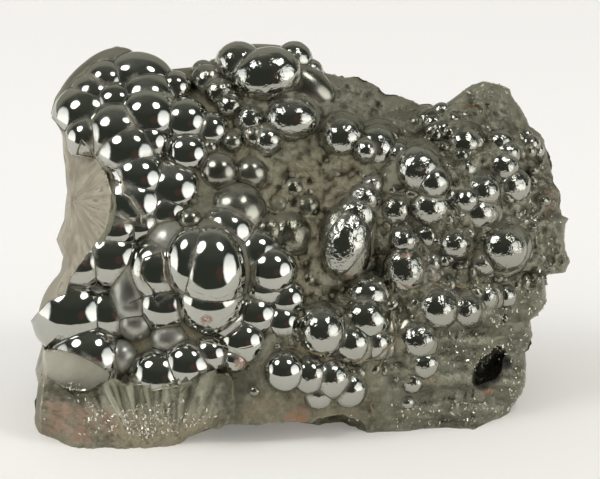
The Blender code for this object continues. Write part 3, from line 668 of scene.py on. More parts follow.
def break_floor(name, u, v):
    """Height of what a break left standing."""
    height, at_u, at_v, slope_u, slope_v = BREAKS[name][2]
    floor = height + slope_u * (u - at_u) + slope_v * (v - at_v)
    flat = flat_places(u, v)
    if name == "left fracture":
        floor = np.maximum(floor, rim_depth(math.pi) + FRACTURE_ABOVE_RIM)
        waves = FRACTURE_WAVES * layered_noise(flat, *FRACTURE_NOISE)
        return floor + FRACTURE_FIBRES * fibre_pattern(u, v) + waves
    if name == "under the left domes":
        return under_domes_floor(floor, u, v)
    return floor + FACET_WAVES * layered_noise(flat, *FACET_NOISE)


print("left fracture at its rim", break_floor("left fracture", np.array([-38.0]), np.array([7.0])))

# %% [markdown]
# Geometry Nodes and materials are both trees of nodes. Two small classes make them readable: sockets
# can be added and multiplied like numbers, and a tree adds any other node with one call.

# %% A small kit for building node trees


class Socket:
    """An output of a node. Sums written with it add Math nodes to its tree."""

    def __init__(self, tree, socket):
        self.tree = tree
        self.socket = socket

    def sum(self, operation, *values, clamp=False):
        inputs = dict(enumerate(values))
        return self.tree.add("ShaderNodeMath", inputs, operation=operation, use_clamp=clamp)["Value"]

    def __add__(self, other):
        return self.sum("ADD", self, other)

    def __radd__(self, other):
        return self.sum("ADD", other, self)

    def __sub__(self, other):
        return self.sum("SUBTRACT", self, other)

    def __rsub__(self, other):
        return self.sum("SUBTRACT", other, self)

    def __mul__(self, other):
        return self.sum("MULTIPLY", self, other)

    def clamped(self):
        return self.sum("MULTIPLY", self, 1.0, clamp=True)

    def larger(self, other):
        return self.sum("MAXIMUM", self, other)


class Tree:
    """A node tree that is filled with one method."""

    def __init__(self, tree):
        self.tree = tree

    def feed(self, node, values):
        """Give inputs of a node values or links."""
        for key, value in values.items():
            if isinstance(value, Socket):
                self.tree.links.new(value.socket, node.inputs[key])
            else:
                node.inputs[key].default_value = value

    def add(self, kind, values=None, **settings):
        """Make a node, set it up and feed it. Returns its outputs by name."""
        node = self.tree.nodes.new(kind)
        for name, value in settings.items():
            setattr(node, name, value)
        self.feed(node, values or {})
        outputs = {}
        for output in node.outputs:
            if output.enabled and output.name not in outputs:
                outputs[output.name] = Socket(self, output)
        return outputs


def start_group(name, inputs):
    """A new Geometry Nodes tree, its inputs and their identifiers."""
    group = bpy.data.node_groups.new(name, "GeometryNodeTree")
    keys = {}
    for label, kind in inputs.items():
        made = group.interface.new_socket(label, in_out="INPUT", socket_type=f"NodeSocket{kind}")
        keys[label] = made.identifier
    group.interface.new_socket("Result", in_out="OUTPUT", socket_type="NodeSocketGeometry")
    tree = Tree(group)
    return tree, tree.add("NodeGroupInput"), keys


def end_group(tree, mesh, finish):
    """Make the placed meshes real, with their material, and hand them out."""
    real = tree.add("GeometryNodeRealizeInstances", {"Geometry": mesh})["Geometry"]
    done = tree.add("GeometryNodeSetMaterial", {"Geometry": real, "Material": finish})["Geometry"]
    tree.add("NodeGroupOutput", {"Result": done})


def named(tree, name, kind="FLOAT_VECTOR"):
    """A number or a vector that the points carry."""
    return tree.add("GeometryNodeInputNamedAttribute", {"Name": name}, data_type=kind)["Attribute"]


print("node kit ready")

# %% [markdown]
# What repeats by a rule is made with Geometry Nodes. This tree takes a point for each dome, with its
# half sizes and its turn as attributes. It puts a ball on each point and fuses all balls into one
# closed skin with a sharp crease wherever two of them meet. Small domes get coarser balls.

# %% The tree that fuses balls into a skin
FINE_BALL = 5
BALL_KINDS = 3


def fused_balls_tree():
    """Geometry Nodes: a ball on each point, fused into one closed skin."""
    inputs = {"Points": "Geometry", "Fineness": "Int", "Finish": "Material"}
    tree, given, keys = start_group("fused balls", inputs)
    points = tree.add("GeometryNodeMeshToPoints", {"Mesh": given["Points"]})["Points"]
    balls = tree.add("GeometryNodeJoinGeometry")["Geometry"]
    join = tree.tree.nodes[-1]
    for coarser in range(BALL_KINDS):
        level = given["Fineness"] - float(coarser)
        ball = tree.add("GeometryNodeMeshIcoSphere", {"Radius": 1.0, "Subdivisions": level})["Mesh"]
        one = tree.add("GeometryNodeGeometryToInstance", {0: ball})["Instances"]
        tree.feed(join, {0: one})
    placed = tree.add("GeometryNodeInstanceOnPoints", {
        "Points": points, "Instance": balls, "Pick Instance": True,
        "Instance Index": named(tree, "size_class", "INT"), "Rotation": named(tree, "turns"),
        "Scale": named(tree, "half_sizes")})["Instances"]
    union = tree.add("GeometryNodeMeshBoolean", {1: placed}, operation="UNION", solver="MANIFOLD")
    end_group(tree, union["Mesh"], given["Finish"])
    return tree.tree, keys


fused_balls = fused_balls_tree()
print(len(fused_balls[0].nodes), "nodes in the tree")

# %% [markdown]
# These helpers add what every material here needs: a noise, a step from 0 to 1, numbers that the
# mesh carries, and colours laid over one another like coats of paint.

# %% Helpers for materials


def new_material(name):
    """A new material, its tree and its shader."""
    material = bpy.data.materials.new(name)
    material.use_nodes = True
    return material, Tree(material.node_tree), material.node_tree.nodes["Principled BSDF"]


def mixed(tree, share, first, second):
    """Two colours mixed by a share."""
    return tree.add("ShaderNodeMix", {0: share, 6: first, 7: second}, data_type="RGBA")["Result"]


def painted(tree, colour, coats):
    """A colour under coats, each with its share and its tone."""
    for share, tone in coats:
        colour = mixed(tree, share, colour, tone)
    return colour


def noise_value(tree, coordinates, size, detail=3.0, roughness=0.55):
    """Blender's noise over a size in metres, about 0 to 1."""
    values = {"Vector": coordinates, "Scale": 1.0 / size, "Detail": detail, "Roughness": roughness}
    return tree.add("ShaderNodeTexNoise", values)["Fac"]


def step_up(tree, value, low, high):
    """0 below low and 1 above high."""
    values = {"Value": value, "From Min": low, "From Max": high}
    return tree.add("ShaderNodeMapRange", values, interpolation_type="SMOOTHSTEP")["Result"]


def attributes(tree, names):
    """Numbers that the mesh carries."""
    return [tree.add("ShaderNodeAttribute", attribute_name=name)["Fac"] for name in names]


print("material helpers ready")

# %% [markdown]
# A dome is a dark metallic mirror. Where two domes meet and on slopes that face up, khaki dust has
# settled, and along each crease runs a thin dark line of painted shade mixed with dust. The meshes
# carry what it needs as attributes, such as the distance to the nearest crease.

# %% Material of the domes
MIRROR = (0.52, 0.525, 0.485, 1)
DARK_MIRROR = (0.38, 0.38, 0.34, 1)
OLIVE_MIRROR = (0.2, 0.192, 0.135, 1)
DUST = (0.155, 0.14, 0.088, 1)
# Painted shade: a near-black line along each crease
PAINTED_CREASE_SHADE = (0.026, 0.024, 0.018, 1)
RUST_BROWN = (0.26, 0.1, 0.035, 1)
SECTION = (0.3, 0.275, 0.215, 1)
# Sizes of the noises in metres
RAGGED_SIZE = 0.0007
WRINKLE_SIZE = 0.0014
SMUDGE_SIZE = 0.003
PATCH_SIZE, PATCH_DETAIL = 0.004, 4.0
BROAD_SIZE = 0.008
# How far the dark line of painted shade and the dusty halo of a crease reach, in mm, and how
# ragged they are
LINE_REACH, LINE_RAGGED = (0.05, 0.24), 0.35
HALO_REACH, HALO_RAGGED = (0.1, 1.1), 0.9
# Where patchy noise begins and where it is full, for each kind of dirt and for the crease line of painted
# shade
FILM_PATCHES = (0.5, 0.8)
VEIL_PATCHES = (0.35, 0.7)
LINE_PATCHES = (0.42, 0.6)
RUST_PATCHES = (0.3, 0.6)
SMUDGES = (0.5, 0.85)
DUSTY_SLOPE, SLOPE_RAGGED = (0.66, 1), 0.7
FILM_MORE, FILM_SHARE, SLOPE_SHARE = 0.25, 0.7, 0.45
SMUDGE_DULLS, DIRT_DULLS = 0.1, 0.45
WRINKLE_STRENGTH, WRINKLE_HEIGHT = 0.5, 0.0006


def dome_material():
    """Hematite mirror with dust and painted shade in its creases, and dust on its upper slopes."""
    material, tree, shader = new_material("hematite_mirror")
    coordinates = tree.add("ShaderNodeTexCoord")["Object"]
    crease, dusty, rusty, broken, olive, rough, wrinkled = attributes(
        tree, ("crease", "dust", "rusty", "broken", "olive", "roughness", "wrinkle"))
    normal = tree.add("ShaderNodeNewGeometry")["Normal"]
    up = tree.add("ShaderNodeSeparateXYZ", {"Vector": normal})["Z"]
    ragged = noise_value(tree, coordinates, RAGGED_SIZE)
    patches = noise_value(tree, coordinates, PATCH_SIZE, PATCH_DETAIL)
    broad = noise_value(tree, coordinates, BROAD_SIZE)
    line = 1.0 - step_up(tree, crease + (ragged - 0.5) * LINE_RAGGED, *LINE_REACH)
    halo = 1.0 - step_up(tree, crease + (ragged - 0.5) * HALO_RAGGED, *HALO_REACH)
    film = halo * step_up(tree, patches + dusty * FILM_MORE, *FILM_PATCHES)
    slope = step_up(tree, up + (broad - 0.5) * SLOPE_RAGGED, *DUSTY_SLOPE) * dusty
    veil = (dusty - 0.5).larger(0.0) * step_up(tree, patches, *VEIL_PATCHES)
    dust = (film * FILM_SHARE + slope * SLOPE_SHARE + veil).clamped()
    rust = (rusty * step_up(tree, ragged, *RUST_PATCHES)).clamped()
    # The crease line is painted shade, patchily mixed with dust
    shade_and_dust_tone = mixed(tree, step_up(tree, patches, *LINE_PATCHES), PAINTED_CREASE_SHADE, DUST)
    colour = painted(tree, mixed(tree, broad, DARK_MIRROR, MIRROR), (
        (olive, OLIVE_MIRROR), (dust, DUST), (line, shade_and_dust_tone), (rust, RUST_BROWN), (broken, SECTION)))
    dull = line.larger(dust).larger(rust).larger(broken)
    smudge = step_up(tree, noise_value(tree, coordinates, SMUDGE_SIZE), *SMUDGES)
    height = noise_value(tree, coordinates, WRINKLE_SIZE) * wrinkled
    bump = tree.add("ShaderNodeBump", {
        "Strength": WRINKLE_STRENGTH, "Distance": WRINKLE_HEIGHT, "Height": height})
    tree.feed(shader, {
        "Base Color": colour, "Metallic": (1.0 - dull).clamped(), "Normal": bump["Normal"],
        "Roughness": (rough + smudge * SMUDGE_DULLS + dull * DIRT_DULLS).clamped()})
    return material


hematite_mirror = dome_material()
print("made", hematite_mirror.name)

# %% [markdown]
# The rock between and under the domes is dull olive brown. It turns beige on clean breaks, red where
# rust stains it, and grey with a metallic shine on knocked edges. Each of those is a mask that the
# mesh carries. Its hollows and the cave in the right foot get painted shade, and the prisms of the
# left foot get a painted lit side and a painted shaded side.

# %% Material of the rock
OLIVE = (0.165, 0.157, 0.1, 1)
DARK_OLIVE = (0.085, 0.08, 0.05, 1)
# Painted shade for the rock's hollows and its cave
PAINTED_HOLLOW_SHADE = (0.016, 0.015, 0.01, 1)
CREST_GREY = (0.27, 0.265, 0.195, 1)
KHAKI = (0.215, 0.19, 0.115, 1)
KHAKI_THREAD = (0.34, 0.305, 0.205, 1)
# Painted shade for hollows in the khaki rock
KHAKI_PAINTED_SHADE = (0.05, 0.042, 0.026, 1)
FOOT_PALE = (0.43, 0.42, 0.315, 1)
FOOT_BROWN = (0.31, 0.275, 0.185, 1)
# Painted light and painted shade for the left and right sides of each prism
PRISM_PAINTED_LIGHT = (0.56, 0.55, 0.44, 1)
PRISM_PAINTED_SHADE = (0.1, 0.095, 0.062, 1)
WET_DARK = (0.105, 0.102, 0.07, 1)
BREAK_BEIGE = (0.4, 0.365, 0.27, 1)
BREAK_BROWN = (0.24, 0.21, 0.15, 1)
BREAK_SHADE = (0.11, 0.1, 0.075, 1)
FACET_GREY = (0.45, 0.43, 0.35, 1)
FACET_GREEN = (0.19, 0.185, 0.14, 1)
RUST_PINK = (0.33, 0.215, 0.15, 1)
GREY_ROCK = (0.215, 0.212, 0.155, 1)
OCHRE = (0.34, 0.13, 0.04, 1)
# Sizes of the noises in metres
FINE_SIZE = 0.0010
GLINT_SIZE = 0.0007
GRAIN_SIZE = 0.0008
THREAD_SIZE = 0.0026
LARGE_SIZE = 0.006
# Where each mask begins and where it is full
OLIVE_PATCHES = (0.35, 0.72)
THREAD_FADES = (0, 0.035)
FOOT_PALES = (-0.65, -0.1)
CRESTS_BEGIN = (0.02, 0.2)
CAVITIES_BEGIN = (0.02, 0.34)
PINK_PATCHES = (0.5, 0.95)
OCHRE_PATCHES = (0.35, 0.6)
BEIGE_PATCHES = (0.25, 0.75)
STROKES, STROKE_PATCHES = (0.25, 0.65), (0.42, 0.58)
FACET_TURNS = (0.5, 1.5)
GLINTS = (0.58, 0.7)
# Strength of each coat, and for those with two numbers its least strength and how much noise adds
KHAKI_COAT, GREY_COAT, FOOT_COAT = (0.4, 0.8), (0.55, 0.6), (0.6, 0.7)
CAVITY_COAT = (0.36, 0.44)
THREAD_COAT, WET_COAT, CREST_COAT, STROKE_COAT = 0.55, 0.75, 0.6, 0.8
# How strongly painted shade and painted light cover the right and left sides of the prisms
PAINTED_SHADE_SIDES, PAINTED_LIGHT_SIDES = 0.8, 0.7
GRAIN_STRENGTH, GRAIN_HEIGHT, GRAIN_ON_SMOOTH, THREAD_HEIGHT = 0.6, 0.0005, 0.85, 0.5
ROCK_DETAIL, THREAD_DETAIL = 4.0, 2.0
SHEEN_METAL, GLINT_METAL, WET_METAL, CREST_SHEEN = 0.35, 0.4, 0.3, 0.5
ROUGH_ROCK, GLINT_GLOSS, SHEEN_GLOSS, WET_GLOSS, SMOOTH_GLOSS = 0.62, 0.25, 0.26, 0.1, 0.2


def foot_colour(tree, side, high, broad):
    """Prisms of the foot: one side of each gets painted shade and the other painted light."""
    pale = step_up(tree, high + broad * 0.5, *FOOT_PALES)
    return painted(tree, mixed(tree, pale, FOOT_BROWN, FOOT_PALE), (
        (side.larger(0.0) * PAINTED_SHADE_SIDES, PRISM_PAINTED_SHADE), ((0.0 - side).larger(0.0) * PAINTED_LIGHT_SIDES, PRISM_PAINTED_LIGHT)))


def fracture_colour(tree, fibre, broad):
    """The beige break with darker strokes along its fibres."""
    beige = step_up(tree, fibre * 0.22 + broad, *BEIGE_PATCHES)
    strokes = step_up(tree, fibre, *STROKES) * step_up(tree, broad, *STROKE_PATCHES)
    return mixed(tree, strokes * STROKE_COAT, mixed(tree, beige, BREAK_BROWN, BREAK_BEIGE), BREAK_SHADE)


def uneven(mask, noise_socket, coat):
    """A mask that a noise makes patchy."""
    return mask * (coat[0] + noise_socket * coat[1])


def rock_material():
    """Dull rock with masks for its other finishes."""
    material, tree, shader = new_material("hematite_rock")
    coordinates = tree.add("ShaderNodeTexCoord")["Object"]
    fine = noise_value(tree, coordinates, FINE_SIZE, ROCK_DETAIL)
    broad = noise_value(tree, coordinates, LARGE_SIZE, ROCK_DETAIL)
    grey, facet, beige, fibre, cavity, khaki, wet, high, side, foot, rust, ochre, cave = attributes(
        tree, ("grey", "facet", "beige", "fibre", "cavity", "khaki", "wet", "high", "side", "foot",
               "rust", "ochre", "cave"))
    wander = noise_value(tree, coordinates, THREAD_SIZE, THREAD_DETAIL)
    thread = 1.0 - step_up(tree, (wander - 0.5).larger(0.5 - wander), *THREAD_FADES)
    crest = step_up(tree, 0.0 - cavity, *CRESTS_BEGIN)
    olive = step_up(tree, fine * 0.6 + broad * 0.5, *OLIVE_PATCHES)
    facet_share = step_up(tree, broad * 1.1 + high, *FACET_TURNS)
    colour = painted(tree, mixed(tree, olive, DARK_OLIVE, OLIVE), (
        (uneven(khaki, fine, KHAKI_COAT), KHAKI),
        (thread * khaki * THREAD_COAT, KHAKI_THREAD),
        (uneven(grey, fine, GREY_COAT), GREY_ROCK),
        (wet * WET_COAT, WET_DARK),
        (uneven(foot, fine, FOOT_COAT), foot_colour(tree, side, high, broad)),
        (crest * CREST_COAT, CREST_GREY),
        # Painted shade: the deeper a hollow lies, the darker it is painted
        (uneven(step_up(tree, cavity, *CAVITIES_BEGIN), khaki, CAVITY_COAT),
         mixed(tree, khaki, PAINTED_HOLLOW_SHADE, KHAKI_PAINTED_SHADE)),
        (rust * step_up(tree, fine * 0.5 + broad, *PINK_PATCHES), RUST_PINK),
        (ochre * step_up(tree, fine, *OCHRE_PATCHES), OCHRE),
        # Painted shade: the cave in the right foot is painted nearly black
        (cave, PAINTED_HOLLOW_SHADE),
        (beige, fracture_colour(tree, fibre, broad)),
        (facet, mixed(tree, facet_share, FACET_GREEN, FACET_GREY))))
    smooth = beige.larger(facet)
    glint = step_up(tree, noise_value(tree, coordinates, GLINT_SIZE, THREAD_DETAIL), *GLINTS) * grey
    sheen = (grey + crest * CREST_SHEEN + wet).clamped() * (1.0 - smooth)
    grains = noise_value(tree, coordinates, GRAIN_SIZE, ROCK_DETAIL) * (1.0 - smooth * GRAIN_ON_SMOOTH)
    bump = tree.add("ShaderNodeBump", {
        "Strength": GRAIN_STRENGTH, "Distance": GRAIN_HEIGHT,
        "Height": grains + thread * khaki * THREAD_HEIGHT})
    rough = ROUGH_ROCK - glint * GLINT_GLOSS - sheen * SHEEN_GLOSS - wet * WET_GLOSS
    tree.feed(shader, {
        "Base Color": colour, "Normal": bump["Normal"],
        "Metallic": (sheen * SHEEN_METAL + glint * GLINT_METAL + wet * WET_METAL).clamped(),
        "Roughness": (rough - smooth * SMOOTH_GLOSS).clamped()})
    return material


hematite_rock = rock_material()
print("made", hematite_rock.name)

# %% [markdown]
# Small helpers turn arrays into objects, run a closed cutter through a piece, and write a number for
# each vertex into a mesh.

# %% Helpers for meshes


def mesh_from_arrays(name, points, faces=(), edges=()):
    """A new mesh whose vertices are world points in metres."""
    mesh = bpy.data.meshes.new(name)
    mesh.from_pydata([tuple(point) for point in points], list(edges), faces)
    mesh.validate()
    return mesh


def object_from_arrays(name, points, faces=(), edges=()):
    """A new object in the scene."""
    made = bpy.data.objects.new(name, mesh_from_arrays(name, points, faces, edges))
    bpy.context.scene.collection.objects.link(made)
    return made


def read_numbers(rows, name, width, kind):
    """One property of every vertex, corner or face as an array."""
    flat = np.zeros(len(rows) * width, np.int32 if kind is int else np.float32)
    rows.foreach_get(name, flat)
    return flat.astype(kind) if width == 1 else flat.reshape(-1, width).astype(kind)


def points_of(mesh):
    """Vertices of a mesh as an array."""
    return read_numbers(mesh.vertices, "co", 3, float)


def normals_of(mesh):
    """Vertex normals of a mesh as an array."""
    return read_numbers(mesh.vertex_normals, "vector", 3, float)


def press_out(mesh, distances):
    """Move each vertex along its normal by a distance in mm."""
    points = points_of(mesh) + normals_of(mesh) * (distances * MM)[:, None]
    mesh.vertices.foreach_set("co", np.asarray(points, np.float32).ravel())
    mesh.update()


def write_numbers(mesh, name, values, kind="FLOAT", domain="POINT"):
    """Give each vertex or face a value that trees and materials read by name."""
    layer = mesh.attributes.new(name, kind, domain)
    number = np.int32 if kind == "INT" else np.float32
    key = "vector" if kind == "FLOAT_VECTOR" else "value"
    layer.data.foreach_set(key, np.asarray(values, number).ravel())


def hollowness(mesh, rounds):
    """How deep each vertex lies under its smoothed surroundings, in mm."""
    points = points_of(mesh)
    pairs = read_numbers(mesh.edges, "vertices", 2, int)
    ends = np.concatenate((pairs[:, 0], pairs[:, 1]))
    others = np.concatenate((pairs[:, 1], pairs[:, 0]))
    neighbours = np.maximum(np.bincount(ends, minlength=len(points)), 1)
    smoothed = points.copy()
    for repeat in range(rounds):
        total = [np.bincount(ends, smoothed[others, axis], len(points)) for axis in range(3)]
        smoothed = np.stack(total, axis=1) / neighbours[:, None]
    return np.einsum("ni,ni->n", smoothed - points, normals_of(mesh)) / MM


def made_plain(carrier):
    """Turn an object with live modifiers into a plain mesh."""
    graph = bpy.context.evaluated_depsgraph_get()
    mesh = bpy.data.meshes.new_from_object(carrier.evaluated_get(graph))
    carrier.modifiers.clear()
    carrier.data = mesh
    return carrier


def grown(carrier, tree_and_keys, **inputs):
    """Run a Geometry Nodes tree on an object and keep what it makes."""
    group, keys = tree_and_keys
    grow = carrier.modifiers.new(group.name, "NODES")
    grow.node_group = group
    for label, value in inputs.items():
        grow[keys[label]] = value
    return made_plain(carrier)


def cut(piece, cutters):
    """Take closed cutters off a closed piece."""
    group = bpy.data.collections.new(f"cutters of {piece.name}")
    bpy.context.scene.collection.children.link(group)
    for cutter in cutters:
        group.objects.link(cutter)
    boolean = piece.modifiers.new("cut", "BOOLEAN")
    boolean.operation = "DIFFERENCE"
    boolean.operand_type = "COLLECTION"
    boolean.collection = group
    boolean.solver = "MANIFOLD"
    made_plain(piece)
    bpy.data.collections.remove(group)
    for cutter in cutters:
        bpy.data.objects.remove(cutter)


def paint(piece, material):
    """Give the whole piece one material."""
    piece.data.materials.clear()
    piece.data.materials.append(material)


print("helpers ready")

# %% [markdown]
# The rock's front and back sheets are square grids pressed into the round outline. Both share the
# vertices of the rim, so the cushion is closed. Large crags are laid on it with Blender's own noise,
# at the same places as in the solid.

# %% Grids and crags of the rock
FRONT_STEPS = 240
BACK_EVERY = 2
CRAG_SIZE = 9.0
CRAG_HEIGHT = 2.2
CRAGS_EVERYWHERE, CRAGS_RIGHT, CRAGS_FOOT, CRAGS_RIM = 0.25, 0.5, 0.5, 0.4
CRAGGY_RIGHT, CRAGGY_FOOT = (10, 25), (-28, -34)
BACK_CRAG_SIZE = 16.0
BACK_CRAG_HEIGHT = 5.0
BACK_LEDGE_SIZE = 7.0
BACK_LEDGE_HEIGHT = 3.0
BACK_NOISE_PLACE = 40.0
BACK_BELOW_RIM = 3.0


def disc_grid(steps):
    """A square grid pressed into the outline: u, v, rim share and angle."""
    line = np.linspace(-1.0, 1.0, steps + 1)
    s, t = np.meshgrid(line, line, indexing="ij")
    x = s * np.sqrt(1.0 - t * t / 2.0)
    y = t * np.sqrt(1.0 - s * s / 2.0)
    rho = np.minimum(np.hypot(x, y), 1.0).ravel()
    angle = np.arctan2(y, x).ravel()
    crowded = (1.0 - RIM_CROWDING) * rho + RIM_CROWDING * np.sin(rho * math.pi / 2.0)
    distance = crowded * ragged_distance(angle)
    u = MIDDLE_U + distance * np.cos(angle)
    v = MIDDLE_V + distance * np.sin(angle)
    return u, v, crowded, angle


def quads_of(grid):
    """Faces between the vertex numbers of a square grid."""
    corners = (grid[:-1, :-1], grid[1:, :-1], grid[1:, 1:], grid[:-1, 1:])
    return np.stack(corners, axis=-1).reshape(-1, 4).tolist()


def slow_noise(places):
    """Blender's own noise at each place, the same that shapes the solid."""
    return np.array([noise.noise(Vector(place)) for place in places])


def crags(u, v, w, rho):
    """Lumps of broken rock, strongest at the right, the foot and the rim."""
    rock = CRAGS_EVERYWHERE + CRAGS_RIGHT * ramp(*CRAGGY_RIGHT, u)
    rock += CRAGS_FOOT * ramp(*CRAGGY_FOOT, v)
    rock = np.minimum(rock + CRAGS_RIM * rho ** 4, 1.0)
    return rock * CRAG_HEIGHT * slow_noise(np.stack((u, v, w), axis=1) / CRAG_SIZE)


def back_height(u, v, rho, angle):
    """Depth of the broken back, an upright rough face."""
    place = flat_places(u, v) + (0.0, 0.0, BACK_NOISE_PLACE)
    upright = (v * math.sin(lean) - BACK_DISTANCE) / math.cos(lean)
    upright += BACK_CRAG_HEIGHT * slow_noise(place / BACK_CRAG_SIZE)
    upright += BACK_LEDGE_HEIGHT * slow_noise(place / BACK_LEDGE_SIZE)
    rim = rim_depth(angle)
    return rim + (np.minimum(upright, rim - BACK_BELOW_RIM) - rim) * rim_round(rho)


print("grid of", (FRONT_STEPS + 1) ** 2, "places")

# %% [markdown]
# The knobs don't stand on bare rock: each has a low mound round it, half an ellipse with a
# wandering edge.

# %% Mounds under the knobs
# Each as u, v, half width, half height, turn in degrees and height in mm
FOLDS = (
    (-1.9, 24, 9, 7.4, 0, 4.2), (-9, 21.8, 5.4, 6.6, -30, 2.6), (8.6, 19.4, 7.2, 7.4, 0, 4),
    (15.2, 17.8, 6.8, 7, 0, 3.8), (24.4, 13.6, 9.2, 8.2, 20, 4), (10, 0.6, 8, 12.4, -20, 4.4),
    (13.4, 9, 5, 5.2, -20, 3), (-6.6, 32, 10.6, 9, 0, 3.4), (-17, 29.6, 5.2, 7.4, 40, 2.2),
    (-2.4, 1, 7.4, 7, 0, 2.2), (4.2, -18, 6.6, 7, 0, 3.2), (12.6, -14, 7.2, 8, 0, 3.2),
    (12, -21, 6.6, 4.8, 0, 2.2), (4, -28, 8.6, 5.6, 0, 2.2), (9, -29.6, 6, 4.4, 0, 1.8),
    (20.8, -3.6, 5.6, 8.4, 0, 2.6), (30.6, -1.6, 5.2, 5.4, 0, 2.2), (40.8, -1, 7.2, 6.4, 0, 2.2),
    (27.4, -13.8, 6.6, 6.2, 0, 2.8), (33.4, -12.6, 6, 5.2, 0, 2), (23.6, -21.8, 5.2, 7, 0, 2),
    (35.6, 8, 6.6, 7, 0, 2.8), (33.2, 18.2, 5.2, 6.2, 0, 2.2), (41.2, 16.2, 5.2, 8, 0, 2.8),
    (26.4, 5, 6.4, 5.4, 0, 2), (19, 5.6, 5, 5.2, 0, 1.8), (28.6, 24, 4.6, 4.6, 0, 1.8),
    (43, 10.8, 5.4, 5.2, 0, 1.6), (46.4, 19, 4.2, 5, 0, 1.4),
)
WRAP_SHARE = 0.4
WRAP_WANDER = 0.22
WRAP_NOISE = (3.4, 95, 3, 0.55)
WRAP_LUMPS = 0.5
LUMP_CELLS = (2.8, 97)
LUMPS_RIGHT, LUMPS_ABOVE_FOOT = (14, 20), (-20, -14)


def bulge(away):
    """Height of a half circle at a share of its radius, 0 outside it."""
    return np.sqrt(np.maximum(1.0 - away * away, 0.0))


def wraps(u, v):
    """Height in mm of the low lumpy mounds on which the knobs stand."""
    flat = flat_places(u, v)
    wander = WRAP_WANDER * layered_noise(flat, *WRAP_NOISE)
    height = np.zeros(len(u))
    for fold_u, fold_v, half_width, half_height, turn, rise in FOLDS:
        half_sizes = (half_width, half_height)
        x, y = from_ellipse(u, v, (fold_u, fold_v), half_sizes, math.radians(turn))
        height = np.maximum(height, WRAP_SHARE * rise * bulge(np.hypot(x, y) + wander))
    lumps = WRAP_LUMPS * bulge(cell_noise(flat, *LUMP_CELLS)[0])
    return height + lumps * smooth_step(*LUMPS_RIGHT, u) * smooth_step(*LUMPS_ABOVE_FOOT, v)


print(len(FOLDS), "mounds")

# %% [markdown]
# The rock is sunk under the left domes, so that it doesn't show between them. Its fine roughness
# differs by zone: pits in the hollow, scales on the right half, level ledges on the right foot and
# sharp crests along the right edge.

# %% Height and roughness of the front
ROCK_SINK = 1.5
SUNK_LEFT, SUNK_ABOVE = (-6, -12), (-33, -28)
FILL_OVER = 1.6
FILL_UNDER_SKIN = 0.3
FILL_FADES = (3, 1)
FILL_FADES_AT_RIM = (1, 0.95)
FILL_STOPS = (-12.5, -14.5)
# Zones as limits along u or v, where each begins and where it is full
RIGHT_ZONE, EDGE_ZONE, TOP_ZONE_RIGHT = (14, 24), (42, 47), (2, 8)
FOOT_ZONE, TOP_ZONE = (-14, -20), (25, 28)
HOLLOW_ZONE_RIGHT, HOLLOW_ZONE_ABOVE = (-14, -6), (-24, -16)
# Each kind of roughness: its noise or its cells, and its height in mm
ROUGH_NOISE, ROUGH_HEIGHT = (2.6, 21, 4, 0.6), 0.35
CREST_NOISE = (4.2, 51, 4, 0.55)
SCALE_CELLS, SCALE_HEIGHT = (2.2, 31), 0.7
PIT_CELLS, PIT_EDGE = (3, 35), (0.42, 0.12)
LEDGE_NOISE, LEDGE_HEIGHT, LEDGE_STRETCH = (2.6, 41, 3, 0.6), 0.8, (0.22, 1, 1)
# How strong each kind is in its zones
ROUGHER_HOLLOW, SMOOTHER_LEFT, HOLLOW_PITS, FOOT_LEDGES = 0.9, 0.5, 0.9, 1.1
HOLLOW_SCALES, RIGHT_SCALES = 0.3, 0.3
FOOT_CRESTS, EDGE_CRESTS, TOP_CRESTS, RIGHT_CRESTS = 0.2, 0.35, 0.08, 0.2


def rock_height(u, v):
    """Height of the rock, filled up where a break will bare it."""
    left = smooth_step(*SUNK_LEFT, u) * smooth_step(*SUNK_ABOVE, v)
    rho = rim_share(u, v)[0]
    height = front_height(u, v) - ROCK_SINK * left * rim_round(rho) + wraps(u, v) * rim_round(rho)
    under_skin = top_of_domes(u, v) - FILL_UNDER_SKIN
    for name, (centre, outline, plane) in BREAKS.items():
        outside = outside_by(centre, outline, u, v)
        filled = break_floor(name, u, v) + FILL_OVER
        filled = np.where(outside < 0.0, filled, np.minimum(filled, under_skin))
        share = smooth_step(*FILL_FADES, outside) * smooth_step(*FILL_FADES_AT_RIM, rho)
        if name == "under the left domes":
            share *= smooth_step(*FILL_STOPS, u)
        height = np.maximum(height, height + share * (filled - height))
    return height


